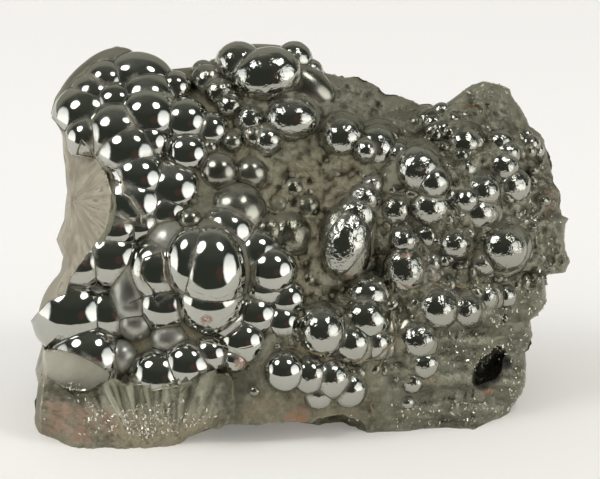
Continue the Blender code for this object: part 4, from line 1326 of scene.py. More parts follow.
def fine_front(places):
    """Fine roughness of the front in mm, by zones."""
    u, v = places[:, 0], places[:, 1]
    flat = places * (1.0, 1.0, 0.0)
    right = smooth_step(*RIGHT_ZONE, u)
    foot = smooth_step(*FOOT_ZONE, v) * right
    top = smooth_step(*TOP_ZONE, v) * smooth_step(*TOP_ZONE_RIGHT, u)
    edge = smooth_step(*EDGE_ZONE, u)
    not_left = smooth_step(*HOLLOW_ZONE_RIGHT, u)
    hollow = not_left * smooth_step(*HOLLOW_ZONE_ABOVE, v) * (1.0 - right)
    smoother = 1.0 - SMOOTHER_LEFT * np.maximum(1.0 - not_left, foot)
    rough = ROUGH_HEIGHT * layered_noise(flat, *ROUGH_NOISE)
    crests = 1.0 - 2.0 * np.abs(layered_noise(flat, *CREST_NOISE))
    nearest, second = cell_noise(flat, *SCALE_CELLS)
    scales = (second - nearest) * SCALE_HEIGHT
    pits = -smooth_step(*PIT_EDGE, cell_noise(flat, *PIT_CELLS)[0])
    ledges = LEDGE_HEIGHT * layered_noise(flat * LEDGE_STRETCH, *LEDGE_NOISE)
    return (rough * (1.0 + ROUGHER_HOLLOW * hollow) * smoother + HOLLOW_PITS * pits * hollow
            + scales * (HOLLOW_SCALES * hollow + RIGHT_SCALES * right * (1.0 - foot))
            + FOOT_LEDGES * ledges * foot
            + crests * (FOOT_CRESTS * foot + EDGE_CRESTS * edge + TOP_CRESTS * top
                        + RIGHT_CRESTS * right * (1.0 - foot)))


print("rock in the middle", rock_height(np.zeros(1), np.zeros(1)).round(2))

# %% [markdown]
# Now the cushion itself. The back's squares are twice as wide as the front's, so those at the rim
# take in the extra vertex of the front's rim.

# %% The rock
NOT_ON_RIM = 1.0 - 1e-9
FINE_UP_TO_RIM = (1, 0.96)
DEEPEST_LUMP = 0.8


def rock_faces(steps, every):
    """Faces of the front grid and the coarser back grid."""
    side = steps + 1
    front = np.arange(side * side).reshape(side, side)
    coarse = steps // every
    back = np.full((coarse + 1, coarse + 1), -1)
    back[1:-1, 1:-1] = side * side + np.arange((coarse - 1) ** 2).reshape(coarse - 1, -1)
    faces = quads_of(front)
    for i, j in product(range(coarse), repeat=2):
        corners = [(i, j), (i, j + 1), (i + 1, j + 1), (i + 1, j)]
        ring = []
        for (a, b), (c, d) in zip(corners, corners[1:] + corners[:1]):
            on_rim = back[a, b] < 0
            ring.append(front[a * every, b * every] if on_rim else back[a, b])
            same_side = (a == c and a in (0, coarse)) or (b == d and b in (0, coarse))
            if on_rim and same_side:
                ring.append(front[(a + c) * every // 2, (b + d) * every // 2])
        faces.append([int(number) for number in ring])
    return faces


def rock_cushion():
    """The rock before anything is cut off it."""
    u, v, rho, angle = disc_grid(FRONT_STEPS)
    w = rock_height(u, v)
    places = np.stack((u, v, w), axis=1)
    lumps = crags(u, v, w, rho) + fine_front(places) * smooth_step(*FINE_UP_TO_RIM, rho)
    lumps = np.maximum(lumps, DEEPEST_LUMP * (rim_depth(angle) - w))
    places[:, 2] += np.where(rho < NOT_ON_RIM, lumps, 0.0)
    coarse = FRONT_STEPS // BACK_EVERY
    back_u, back_v, back_rho, back_angle = disc_grid(coarse)
    back_w = back_height(back_u, back_v, back_rho, back_angle)
    behind = np.stack((back_u, back_v, back_w), axis=1)
    behind = behind.reshape(coarse + 1, coarse + 1, 3)[1:-1, 1:-1].reshape(-1, 3)
    points = to_world(np.concatenate((places, behind)))
    return object_from_arrays("hematite_rock", points, rock_faces(FRONT_STEPS, BACK_EVERY))


rock = rock_cushion()
print("rock has", len(rock.data.polygons), "faces before it is cut")

# %% [markdown]
# What was broken off is cut off here too, with the arch under the front and the cavity in the foot.
# The ground is one more cutter, so the lump rests flat.

# %% Cutters
# Middle and half sizes along X, Y and Z in mm, and turn in degrees
HOLLOWS = {"arch": ((-4.6, -27, -0.5), (19.6, 13, 4.9), 0),
           "arch right": ((6.8, -27, 0.6), (7.4, 13, 4.3), 0),
           "cavity": ((38.6, -15.5, 11.6), (5.3, 9, 2.6), -42)}
HOLLOW_ROUGH = 0.45
HOLLOW_NOISE = (3, 131, 4, 0.6)
HOLLOW_FINENESS = 5
GROUND_HALF = 90.0
CUTTER_TOP = 40.0
BREAK_RINGS, BREAK_SPOKES = 60, 300
CHIP_RINGS, CHIP_SPOKES = 16, 120
ANGLE_DIGITS = 5


def cutter_object(name, make, transform):
    """A closed cutter made by a bmesh call and then placed."""
    bm = bmesh.new()
    make(bm)
    bmesh.ops.transform(bm, matrix=transform, verts=bm.verts)
    mesh = bpy.data.meshes.new(name)
    bm.to_mesh(mesh)
    bm.free()
    return bpy.data.objects.new(name, mesh)


def prism_cutter(name, centre, outline, floor, rings, spokes):
    """A closed prism over an outline, with its lower end on a floor."""
    corners = np.array(outline, float) - centre
    angles = np.linspace(-math.pi, math.pi, spokes, endpoint=False)
    corner_angles = np.arctan2(corners[:, 1], corners[:, 0])
    angles = np.union1d(angles.round(ANGLE_DIGITS), corner_angles.round(ANGLE_DIGITS))
    count = len(angles)
    shares = np.arange(1, rings + 1)[:, None] / rings
    reach = shares * star_reach(centre, outline, angles)
    u = np.append(centre[0] + reach * np.cos(angles), centre[0])
    v = np.append(centre[1] + reach * np.sin(angles), centre[1])
    low = np.stack((u, v, floor(u, v)), axis=1)
    rim = low[(rings - 1) * count:rings * count]
    high = rim * (1.0, 1.0, 0.0) + (0.0, 0.0, CUTTER_TOP)
    middle, top = rings * count, rings * count + 1
    faces = [tuple(range(top, top + count))]
    for i in range(count):
        after = (i + 1) % count
        outer = (rings - 1) * count
        faces.append((middle, after, i))
        faces.append((outer + i, outer + after, top + after, top + i))
        for ring in range(rings - 1):
            inner, outside = ring * count, (ring + 1) * count
            faces.append((inner + i, inner + after, outside + after, outside + i))
    mesh = mesh_from_arrays(name, to_world(np.concatenate((low, high))), faces)
    return bpy.data.objects.new(name, mesh)


def break_cutter(name, deeper):
    """A prism that bares a broken face."""
    centre, outline = BREAKS[name][:2]
    return prism_cutter(name, centre, outline, lambda u, v: break_floor(name, u, v) - deeper,
                        BREAK_RINGS, BREAK_SPOKES)


def chip_cutter(name):
    """A prism that takes a thin flake off the domes."""
    centre, outline, thickness = CHIPS[name]
    return prism_cutter(name, centre, outline, lambda u, v: top_of_domes(u, v) - thickness,
                        CHIP_RINGS, CHIP_SPOKES)


def hollow_cutter(name, middle, half_sizes, turn):
    """A rounded hollow with rough walls."""
    sizes = Matrix.Scale(MM, 4) @ Matrix.Diagonal(Vector((*half_sizes, 1.0)))
    spin = Matrix.Rotation(math.radians(turn), 4, "Y")
    centre = (Vector(middle) + Vector((CENTRE_SHIFT_X, CENTRE_SHIFT_Y, 0.0))) * MM
    cutter = cutter_object(
        name, lambda bm: bmesh.ops.create_icosphere(bm, subdivisions=HOLLOW_FINENESS, radius=1.0),
        Matrix.Translation(centre) @ spin @ sizes)
    rough = layered_noise(points_of(cutter.data) / MM, *HOLLOW_NOISE)
    press_out(cutter.data, HOLLOW_ROUGH * rough)
    return cutter


def ground_cutter():
    """A slab below the surface on which the lump stands."""
    lower = Matrix.Translation(Vector((0.0, 0.0, -GROUND_HALF * MM))) @ Matrix.Scale(MM, 4)
    return cutter_object(
        "ground", lambda bm: bmesh.ops.create_cube(bm, size=2.0 * GROUND_HALF), lower)


def all_cutters(deeper=0.0):
    """What goes through rock and domes alike."""
    cutters = [break_cutter(name, deeper) for name in BREAKS]
    return cutters + [hollow_cutter(name, *HOLLOWS[name]) for name in HOLLOWS] + [ground_cutter()]


cut(rock, all_cutters())
print("rock has", len(rock.data.polygons), "faces after it")

# %% [markdown]
# The back is a break too. Ridges and plates are pressed into it after the cutting, so that they run
# over its edges. They fade towards the base, which stays flat.

# %% Roughness of the back
BACK_ROUGH = 1.5
BACK_ROUGH_NOISE = (8, 141, 4, 0.6)
BACK_PLATES = 1.1
BACK_PLATE_CELLS = (6, 151)
BACK_BEGINS, BACK_ABOVE_BASE = (-1, 2), (0.3, 3)


def behind_rim(places):
    """How far each place lies behind the rim of the rock, in mm."""
    return rim_depth(np.arctan2(places[:, 1], places[:, 0])) - places[:, 2]


def roughen_back(mesh):
    """Press broken roughness into the back and the flanks."""
    points = points_of(mesh)
    mask = smooth_step(*BACK_BEGINS, behind_rim(to_front(points)))
    mask *= smooth_step(*BACK_ABOVE_BASE, points[:, 2] / MM)
    ridges = BACK_ROUGH * np.abs(layered_noise(points / MM, *BACK_ROUGH_NOISE))
    plates = BACK_PLATES * cell_noise(points / MM, *BACK_PLATE_CELLS)[0]
    press_out(mesh, -mask * (ridges + plates))


roughen_back(rock.data)
print("back roughened by", BACK_ROUGH, "mm")

# %% [markdown]
# Now the domes. Which dome a place of the skin belongs to comes from the ellipsoids themselves, and
# so does its exact normal. With that, even a coarse ball mirrors like a perfect one.

# %% Measuring on the domes
MIDDLE_RADIUS = 2.0
FINE_RADIUS = 4.2
CHUNK = 8000
CREASE_ANGLE = 17.0


def dome_frame(turn):
    """Axes of a dome in the world as columns."""
    spin = np.array(((math.cos(turn), -math.sin(turn), 0.0),
                     (math.sin(turn), math.cos(turn), 0.0), (0.0, 0.0, 1.0)))
    return FRONT_AXES.T @ spin


def point_cloud(name, rows):
    """Points for the balls, with their half sizes, turns and size classes."""
    cloud = object_from_arrays(name, to_world([row[1] for row in rows]))
    turns = [Matrix(dome_frame(row[3]).tolist()).to_euler() for row in rows]
    half_sizes = np.array([row[2] for row in rows])
    largest = half_sizes.max(axis=1)
    size_class = (largest >= MIDDLE_RADIUS).astype(int) + (largest >= FINE_RADIUS)
    write_numbers(cloud.data, "half_sizes", half_sizes * MM, "FLOAT_VECTOR")
    write_numbers(cloud.data, "turns", np.array(turns), "FLOAT_VECTOR")
    write_numbers(cloud.data, "size_class", size_class, "INT")
    return cloud


def dome_distances(points, rows):
    """Distance in mm from each point to each dome's skin, less than 0 inside it."""
    centres = to_world([row[1] for row in rows]) / MM
    result = np.zeros((len(points), len(rows)), np.float32)
    for index, (centre, row) in enumerate(zip(centres, rows)):
        half_sizes = np.array(row[2])
        local = (points / MM - centre) @ dome_frame(row[3]) / half_sizes
        result[:, index] = (np.linalg.norm(local, axis=1) - 1.0) * half_sizes.min()
    return result


def dome_normals(points, owners, rows):
    """The exact outward direction of a dome at points on it."""
    centres = to_world([row[1] for row in rows]) / MM
    frames = np.array([dome_frame(row[3]) for row in rows])
    half_sizes = np.array([row[2] for row in rows])
    local = np.einsum("ni,nij->nj", points / MM - centres[owners], frames[owners])
    local /= half_sizes[owners] ** 2
    normals = np.einsum("nj,nij->ni", local, frames[owners])
    return normals / np.linalg.norm(normals, axis=1)[:, None]


def owners_of(points, rows):
    """The dome whose skin is nearest to each point, and its distance in mm."""
    owners, distances = [], []
    for start in range(0, len(points), CHUNK):
        own = np.abs(dome_distances(points[start:start + CHUNK], rows))
        owners.append(own.argmin(axis=1))
        distances.append(own.min(axis=1))
    return np.concatenate(owners), np.concatenate(distances)


def crease_distances(mesh, points):
    """Distance in mm from each vertex to the nearest sharp crease of the mesh."""
    mesh.set_sharp_from_angle(angle=math.radians(CREASE_ANGLE))
    sharp = read_numbers(mesh.attributes["sharp_edge"].data, "value", 1, int) > 0
    creased = np.unique(read_numbers(mesh.edges, "vertices", 2, int)[sharp])
    tree = kdtree.KDTree(len(creased))
    for number, point in enumerate(points[creased]):
        tree.insert(point, number)
    tree.balance()
    return np.array([tree.find(point)[2] for point in points]) / MM


print("chunks of", CHUNK, "places")

# %% [markdown]
# The finish of each dome goes to the vertices of its skin. Its ruffles are so low that the faces
# alone wouldn't show them, so the normals are tilted by the slope of the ruffles too.

# %% Finish and ruffles of the domes
SHARP_ANGLE = 28.0
RUFFLE_NOISE = (2.6, 121, 3, 0.5)
RUFFLE_STEP = 0.05
RUFFLE_LEAST = 0.35
RUFFLED_SLOPE = (0, 0.7)
FULL_WRINKLE = 0.06
SECTION_DEPTH = 0.06
SECTION_TURN = 0.9
RUST_RAGGED = 0.5
# Rust on the domes as u, v, half width, half height and strength
DOME_RUST_SPOTS = ((-18.6, -15.9, 1.3, 1, 1), (21, -3.2, 1.3, 0.5, 0.7),
                   (-11.5, -24.6, 1, 0.9, 0.7), (24, 14, 0.8, 0.4, 0.35),
                   (9.4, -7.4, 1.2, 0.5, 0.5), (-37.5, -19.6, 1.2, 0.6, 0.4))


def ruffles(places):
    """Height from -1 to 1 of the ruffles of the skin at places in mm."""
    return layered_noise(places, *RUFFLE_NOISE)


def ruffle_slopes(places):
    """How the ruffles rise along x, y and z, for each mm."""
    steps = RUFFLE_STEP * np.eye(3)
    here = ruffles(places)
    return np.stack([(ruffles(places + step) - here) / RUFFLE_STEP for step in steps], axis=1)


def describe_domes(mesh, rows):
    """Write what the material needs to know about a dome skin."""
    points = points_of(mesh)
    finishes = np.array([FINISHES[row[0]] for row in rows])[owners_of(points, rows)[0]]
    finishes[:, 1] /= FULL_WRINKLE
    front = to_front(points)
    above_rock = front[:, 2] - rock_height(front[:, 0], front[:, 1])
    crease = np.minimum(crease_distances(mesh, points), np.maximum(above_rock, 0.0))
    write_numbers(mesh, "crease", crease)
    for column, name in enumerate(("roughness", "wrinkle", "dust", "ruffle", "olive")):
        write_numbers(mesh, name, finishes[:, column])
    write_numbers(mesh, "rusty", spot_mask(front, DOME_RUST_SPOTS, RUST_RAGGED))


def broken_faces(mesh, rows):
    """The dome that each face lies on, and whether it was bared by a break instead."""
    centres = read_numbers(mesh.polygons, "center", 3, float)
    owners, distances = owners_of(centres, rows)
    own_normals = dome_normals(centres, owners, rows)
    along = np.einsum("ni,ni->n", read_numbers(mesh.polygons, "normal", 3, float), own_normals)
    return owners, (distances > SECTION_DEPTH) | (along < SECTION_TURN)


def shade_domes(mesh, rows):
    """Mirror domes get their exact normals, tilted by their ruffles."""
    mesh.shade_smooth()
    mesh.set_sharp_from_angle(angle=math.radians(SHARP_ANGLE))
    points = points_of(mesh)
    vertices = read_numbers(mesh.loops, "vertex_index", 1, int)
    normals = read_numbers(mesh.corner_normals, "vector", 3, float)
    corners = read_numbers(mesh.polygons, "loop_total", 1, int)
    owners, broken = broken_faces(mesh, rows)
    exact = np.repeat(~broken, corners)
    normals[exact] = dome_normals(points[vertices][exact], np.repeat(owners, corners)[exact], rows)
    height = read_numbers(mesh.attributes["ruffle"].data, "value", 1, float)
    facing_up = smooth_step(*RUFFLED_SLOPE, normals_of(mesh)[:, 2])
    height *= RUFFLE_LEAST + (1.0 - RUFFLE_LEAST) * facing_up
    slopes = (height[:, None] * ruffle_slopes(points / MM))[vertices]
    slopes -= np.einsum("ni,ni->n", slopes, normals)[:, None] * normals
    normals -= slopes * exact[:, None]
    normals /= np.linalg.norm(normals, axis=1)[:, None]
    press_out(mesh, height * ruffles(points / MM))
    mesh.normals_split_custom_set(normals.tolist())
    mark_sections(mesh, broken)


def mark_sections(mesh, broken):
    """Mark the faces where a dome is broken through. Under a thin chip it still shines."""
    places = to_front(read_numbers(mesh.polygons, "center", 3, float))
    chipped = np.zeros(len(places), bool)
    for centre, outline, thickness in CHIPS.values():
        chipped |= outside_by(centre, outline, places[:, 0], places[:, 1]) < 0.0
    write_numbers(mesh, "broken", broken & ~chipped, "FLOAT", "FACE")


print(len(DOME_RUST_SPOTS), "rust spots on the domes")

# %% [markdown]
# Between the large domes the rock is dotted with small ones. They are scattered with fixed seeds,
# only where no larger dome stands.

# %% Small domes in the valleys
# Part, limits along u and v, how many are tried, and the smallest and largest radius
SMALL_DOME_AREAS = (
    ("small domes", 17, 49, -17, 23, 260, 0.6, 1.7),
    ("pimples", -9, 18, -15, 20, 140, 0.35, 1),
    ("small domes", -10, 22, -32, -14, 70, 0.6, 1.4),
    ("pimples", -34, -8, -28, 26, 120, 0.5, 1.3),
)
CLEAR_OF_DOMES = 0.4
INSIDE_RIM = 0.93
SMALL_DOME_SEED = 200
SMALL_STRETCH, SMALL_STAND_OUT = (0.8, 1.3), (0.35, 0.75)


def small_domes():
    """Rows for small domes, scattered where no larger dome stands."""
    rows = []
    for seed, (part, u_low, u_high, v_low, v_high, tries, small, large) in enumerate(SMALL_DOME_AREAS):
        draw = np.random.default_rng(SMALL_DOME_SEED + seed)
        u = draw.uniform(u_low, u_high, tries)
        v = draw.uniform(v_low, v_high, tries)
        radius = small + (large - small) * draw.uniform(0.0, 1.0, tries) ** 2
        stretch = draw.uniform(*SMALL_STRETCH, tries)
        turn = draw.uniform(0.0, math.pi, tries)
        middle = rock_height(u, v) + radius * draw.uniform(*SMALL_STAND_OUT, tries) - radius
        on_rock = top_of_domes(u, v) < rock_height(u, v) + CLEAR_OF_DOMES
        for i in np.flatnonzero(on_rock & (rim_share(u, v)[0] < INSIDE_RIM)):
            half_sizes = (radius[i] * stretch[i], radius[i] / stretch[i], radius[i])
            rows.append((part, (u[i], v[i], middle[i]), half_sizes, turn[i]))
    return rows


SMALL_DOMES = small_domes()
print(len(SMALL_DOMES), "small domes")

# %% [markdown]
# The domes become three skins, to keep each under 200,000 triangles. What lies well below the rock
# is cut off first, and then what was broken off.

# %% Dome skins
LEFT_PARTS = ("outer shell", "top left lobe", "upper left", "dusty middle", "dusty column",
              "left edge", "round the main dome")
MIDDLE_ENDS = 18.0
SKIN_BREAK_DEEPER = 0.12
TRIM_STEPS = 90
TRIM_BELOW = 2.2


def under_rock():
    """A closed cutter for everything well below the front of the rock."""
    u, v, rho, angle = disc_grid(TRIM_STEPS)
    w = rock_height(u, v)
    w += crags(u, v, w, rho) * (rho < 1.0) - TRIM_BELOW
    count = len(u)
    top = np.stack((u, v, w), axis=1)
    low = flat_places(u, v) - (0.0, 0.0, CUTTER_TOP)
    grid = np.arange(count).reshape(TRIM_STEPS + 1, -1)
    faces = []
    for quad in quads_of(grid):
        faces.append(quad)
        faces.append([number + count for number in reversed(quad)])
    rim = np.concatenate((grid[:-1, 0], grid[-1, :-1], grid[:0:-1, -1], grid[0, :0:-1])).tolist()
    for a, b in zip(rim, rim[1:] + rim[:1]):
        faces.append((b, a, a + count, b + count))
    mesh = mesh_from_arrays("under_rock", to_world(np.concatenate((top, low))), faces)
    return bpy.data.objects.new("under_rock", mesh)


def dome_skin(name, rows, chips=()):
    """One closed skin of fused domes, cut where the lump is broken."""
    skin = grown(point_cloud(name, rows), fused_balls, Fineness=FINE_BALL, Finish=hematite_mirror)
    cut(skin, [under_rock()])
    cut(skin, all_cutters(SKIN_BREAK_DEEPER) + [chip_cutter(chip) for chip in chips])
    paint(skin, hematite_mirror)
    describe_domes(skin.data, rows)
    shade_domes(skin.data, rows)
    return skin


left_rows = [row for row in DOMES if row[0] in LEFT_PARTS]
other_rows = [row for row in DOMES + SMALL_DOMES if row[0] not in LEFT_PARTS]
middle_rows = [row for row in other_rows if row[1][0] < MIDDLE_ENDS]
right_rows = [row for row in other_rows if row[1][0] >= MIDDLE_ENDS]
domes_left = dome_skin("hematite_domes_left", left_rows, CHIPS)
domes_middle = dome_skin("hematite_domes_middle", middle_rows)
domes_right = dome_skin("hematite_domes_right", right_rows)
print("dome skins of", [len(skin.data.polygons) for skin in (domes_left, domes_middle, domes_right)])

# %% [markdown]
# The rock gets its masks: where it is beige, red, ochre or grey. They are soft spots on the front
# with ragged edges, and everything behind the rim is grey rock.

# %% Masks on the rock
# Spots as u, v, half width, half height and strength
BEIGE_SPOTS = ((-51.5, -14, 3, 4, 0.8), (-52, -24, 2.2, 5, 0.6))
RUST_SPOTS = ((-45, -36.5, 10, 4, 1), (-1, -35.4, 2.4, 1.4, 0.7),
              (50.4, 7.5, 1.2, 3, 0.5), (-47.6, -6, 2, 7, 0.4), (-9, -33.4, 3, 1.6, 0.25))
OCHRE_SPOTS = ((37.6, -30.6, 1.2, 0.5, 0.8), (34.8, 27, 1.4, 0.28, 0.8), (32.8, 28.8, 0.3, 1.2, 0.5),
               (26, -28, 1.2, 0.6, 0.4), (-1, -35.4, 2, 0.9, 0.6))
GREY_SPOTS = ((50, 0, 8, 26, 0.3), (32, -30, 20, 10, 0.7),
              (18, 28, 20, 8, 0.9), (38, 29, 8, 5, 0.9), (34, 4, 16, 24, 0.5))
WET_SPOTS = ((32, -29, 15, 9, 0.55), (49.5, 4, 6, 20, 0.7),
             (33, 6, 15, 20, 1), (14, -6, 7, 7, 0.9), (30, -14, 14, 9, 0.8),
             (12, -16, 9, 8, 0.6), (22, 23, 9, 4, 0.5))
FOOT_SPOTS = ((-29.5, -33.5, 13, 8.5, 1), (-46, -38, 9, 6, 0.35))
KHAKI_SPOTS = ((2, -34.5, 13, 2.6, 0.7), (4, 4, 15, 20, 1),
               (-18, 20, 9, 9, 0.9), (-27, -20.5, 9, 4, 1),
               (12, -22, 12, 9, 0.7), (26, 0, 10, 10, 0.4))
# Painted shade: spots that paint the cave in the right foot nearly black
CAVE_SHADE_SPOTS = ((40.4, -24.8, 2.4, 1.9, 1), (38.2, -27, 2.9, 2.4, 1), (36.6, -28.8, 1.7, 1.6, 1))
# Name of each mask, its spots and how ragged their edges are
SPOT_MASKS = (
    ("rust", RUST_SPOTS, 0.5), ("ochre", OCHRE_SPOTS, 0.3), ("grey", GREY_SPOTS, 0.3),
    ("khaki", KHAKI_SPOTS, 0.4), ("wet", WET_SPOTS, 0.35), ("foot", FOOT_SPOTS, 0.15),
    ("cave", CAVE_SHADE_SPOTS, 0.15), ("beige", BEIGE_SPOTS, 0.2),
)
# Behind the rim the masks follow noise: its settings, their middle and how strongly it sways them
UNSEEN_BROAD, UNSEEN_WET = (14, 161, 3), (9, 171, 3)
UNSEEN_MASKS = {"grey": (UNSEEN_BROAD, 0.5, 0.4), "khaki": (UNSEEN_BROAD, 0.5, -0.8),
                "wet": (UNSEEN_WET, -0.1, 1.2)}
UNSEEN_MOST = 0.8
UNSEEN_FROM = 0.5
CAVITY_ROUNDS = 8
BARE_EDGE = (0.4, 0)
SIDES_BELOW = (-28, -29.5)
HIGH_FROM, HIGH_REACH = -30.0, 8.0


def unseen_mask(name, places):
    """What a mask is on the back, which the photograph doesn't show."""
    if name not in UNSEEN_MASKS:
        return np.zeros(len(places))
    settings, middle, sway = UNSEEN_MASKS[name]
    return np.clip(sway * layered_noise(places, *settings) + middle, 0.0, UNSEEN_MOST)


def describe_rock(mesh):
    """Write the masks of the rock for each vertex."""
    places = to_front(points_of(mesh))
    u, v = places[:, 0], places[:, 1]
    masks = {name: spot_mask(places, spots, ragged) for name, spots, ragged in SPOT_MASKS}
    fracture, masks["facet"] = (smooth_step(*BARE_EDGE, outside_by(*BREAKS[name][:2], u, v))
                                for name in ("left fracture", "lower left facet"))
    masks["beige"] = np.maximum(masks["beige"], fracture)
    for name, mask in masks.items():
        unseen = behind_rim(places) > UNSEEN_FROM
        write_numbers(mesh, name, np.where(unseen, unseen_mask(name, places), mask))
    # How deep each vertex lies in a hollow; the material paints deeper hollows darker as painted shade
    write_numbers(mesh, "cavity", hollowness(mesh, CAVITY_ROUNDS))
    write_numbers(mesh, "fibre", fibre_pattern(u, v))
    write_numbers(mesh, "high", (v - HIGH_FROM) / HIGH_REACH)
    write_numbers(mesh, "side", wedge_pattern(u, v)[1] * smooth_step(*SIDES_BELOW, v))


describe_rock(rock.data)
paint(rock, hematite_rock)
print(len(SPOT_MASKS), "masks of spots on the rock")

# %% [markdown]
# Where a layer of the skin ended in a break, its edge catches the light, and this highlight is
# painted as a thin cream line. A second tree turns listed routes over the domes into such fine tubes.

# %% Edges of the broken skin, with painted highlights
EDGE_ROUTES = (
    (0.11, CHIPS["beside the fracture"][1][:11]),
    (0.12, ((-45.5, 17), (-43, 16.5), *BREAKS["left fracture"][1][:8])),
    (0.12, CHIPS["beside the main dome"][1][:6]),
    (0.13, ((-27.5, -2.5), (-26.8, -4.2), (-27, -5.5), (-26.8, -7.8), (-24.6, -10))),
    (0.12, ((-37, -27.5), (-35, -28.7), (-31, -28.7), (-29, -29.8), (-25, -29.1), (-22.6, -29))),
    (0.13, ((-50.6, -22.3), (-47.2, -22.1))),
    (0.11, ((-19.8, -20.2), (-15.8, -20.9), (-13, -21.8), (-11, -21.4), (-8.7, -20.7))),
    (0.06, ((-22.8, -9.4), (-20, -10.6), (-17.4, -11.4), (-14, -12.4))),
    (0.06, ((-10.8, -8.4), (-13.4, -10.4), (-16.2, -12))),
    (0.06, ((-16, -16.4), (-13, -14.4), (-11.6, -13.2))),
)
# Ridges of brown dirt in the valleys between the lower knobs
DIRT_ROUTES = (
    (0.23, ((18.4, -8.8), (18.2, -12), (18.8, -16), (19, -20), (17, -22.4), (14, -24), (9, -24.2),
            (5, -23.2), (0, -21.8), (-5, -21.2))),
    (0.22, ((16.4, -23.8), (15.4, -28), (14.6, -32), (14, -35.4))),
    (0.21, ((19.5, -8.4), (22, -9.8), (25, -9.2), (30, -8.8), (34, -9.6))),
    (0.21, ((-9, 22.6), (-11, 18.8), (-10.6, 16.8))),
)
EDGE_STEP = 0.25
EDGE_WANDER = 0.10
DIRT_WANDER = 0.45
DIRT_BROWN = (0.2, 0.155, 0.085, 1)
# Painted highlight of the broken edges, in cream
PAINTED_EDGE_HIGHLIGHT = (0.62, 0.58, 0.46, 1)
EDGE_GLOSS = 0.35
EDGE_PATCH_SIZE = 0.0015
EDGE_PATCHES = (0.3, 0.7)
EDGE_SIDES = 6
# Sizes and seeds of the noises that make lines wander and swell
WANDER_NOISES = ((0.9, 81), (0.9, 82))
SWELL_NOISE = (1.1, 83)
EDGE_SWELL, DIRT_SWELL = 0.45, 0.9
THIN_END, TAPER_POINTS = 0.35, 6.0


def edge_points(route, wander):
    """Places close together along a route, on the domes or the rock."""
    route = np.array(route, float)
    lengths = np.append(0.0, np.cumsum(np.hypot(*np.diff(route, axis=0).T)))
    along = np.arange(0.0, lengths[-1], EDGE_STEP)
    u, v = (np.interp(along, lengths, route[:, axis]) for axis in (0, 1))
    flat = flat_places(u, v)
    u, v = (line + wander * smooth_noise(flat, *settings) for line, settings in zip((u, v), WANDER_NOISES))
    return np.stack((u, v, np.maximum(top_of_domes(u, v), rock_height(u, v))), axis=1)


def tube_tree():
    """Geometry Nodes: tubes along edges, with a radius at each point."""
    inputs = {"Lines": "Geometry", "Sides": "Int", "Finish": "Material"}
    tree, given, keys = start_group("fine tubes", inputs)
    curve = tree.add("GeometryNodeMeshToCurve", {"Mesh": given["Lines"]})["Curve"]
    ring = {"Resolution": given["Sides"], "Radius": 1.0}
    profile = tree.add("GeometryNodeCurvePrimitiveCircle", ring)["Curve"]
    tubes = tree.add("GeometryNodeCurveToMesh", {
        "Curve": curve, "Profile Curve": profile, "Scale": named(tree, "thickness", "FLOAT"),
        "Fill Caps": True})["Mesh"]
    end_group(tree, tubes, given["Finish"])
    return tree.tree, keys


def edge_material():
    """Slightly glossy broken edges with a pale painted highlight, and brown ridges of dirt."""
    material, tree, shader = new_material("hematite_edge")
    coordinates = tree.add("ShaderNodeTexCoord")["Object"]
    patches = noise_value(tree, coordinates, EDGE_PATCH_SIZE)
    colour = mixed(tree, step_up(tree, patches, *EDGE_PATCHES), BREAK_BROWN, PAINTED_EDGE_HIGHLIGHT)
    colour = mixed(tree, attributes(tree, ("dirt",))[0], colour, DIRT_BROWN)
    tree.feed(shader, {"Base Color": colour, "Roughness": EDGE_GLOSS})
    return material


def skin_edges():
    """All broken edges with painted highlights, and ridges of dirt, as one piece."""
    points, edges, thickness, dirt = [], [], [], []
    for routes, dirty, wander, swell in ((EDGE_ROUTES, 0.0, EDGE_WANDER, EDGE_SWELL),
                                         (DIRT_ROUTES, 1.0, DIRT_WANDER, DIRT_SWELL)):
        for radius, route in routes:
            line = edge_points(route, wander)
            from_start = np.arange(len(line))
            edges.extend((len(points) + i, len(points) + i + 1) for i in range(len(line) - 1))
            points.extend(line)
            dirt.extend([dirty] * len(line))
            from_end = np.minimum(from_start, from_start[::-1])
            taper = np.minimum(1.0, THIN_END + from_end / TAPER_POINTS)
            thickness.extend(radius * taper * (1.0 + swell * smooth_noise(line, *SWELL_NOISE)))
    lines = object_from_arrays("hematite_skin_edges", to_world(points), (), edges)
    write_numbers(lines.data, "thickness", np.array(thickness) * MM)
    write_numbers(lines.data, "dirt", dirt)
    return grown(lines, tube_tree(), Sides=EDGE_SIDES, Finish=edge_material())


edges_of_skin = skin_edges()
print("skin edges of", len(edges_of_skin.data.polygons), "faces")

# %% [markdown]
# Where the rock is broken, small crystal faces glitter. A third tree puts a small crystal on each of
# many points of the rock's surface.

# %% Glittering crystals
# Spots as u, v, half width, half height and strength
CRYSTAL_SPOTS = (
    (-29, -35.6, 11, 3, 1), (30, -35.4, 16, 2.6, 1), (43.5, -27, 2.8, 9, 0.4),
    (48, 0, 4, 18, 0.4), (39, -13.5, 6, 4.5, 1), (38, 30.4, 6, 1.6, 0.7),
    (33, -22, 9, 4, 0.6), (34, 25.6, 3, 0.6, 0.9), (-45, -34, 8, 5, 0.25),
)
CRYSTALS = 1000
CRYSTAL_SIZES = (0.2, 0.72)
LOWEST_CRYSTAL = 0.8
CRYSTAL_SHAPE = (1, 0.5, 0.35)
CRYSTAL_TONE = (0.74, 0.72, 0.62, 1)
CRYSTAL_METAL, CRYSTAL_ROUGHNESS = 0.6, 0.2
CRYSTAL_SEED = 310
CRYSTALS_RAGGED = 0.4
CRYSTALS_IN_FRONT = -0.5


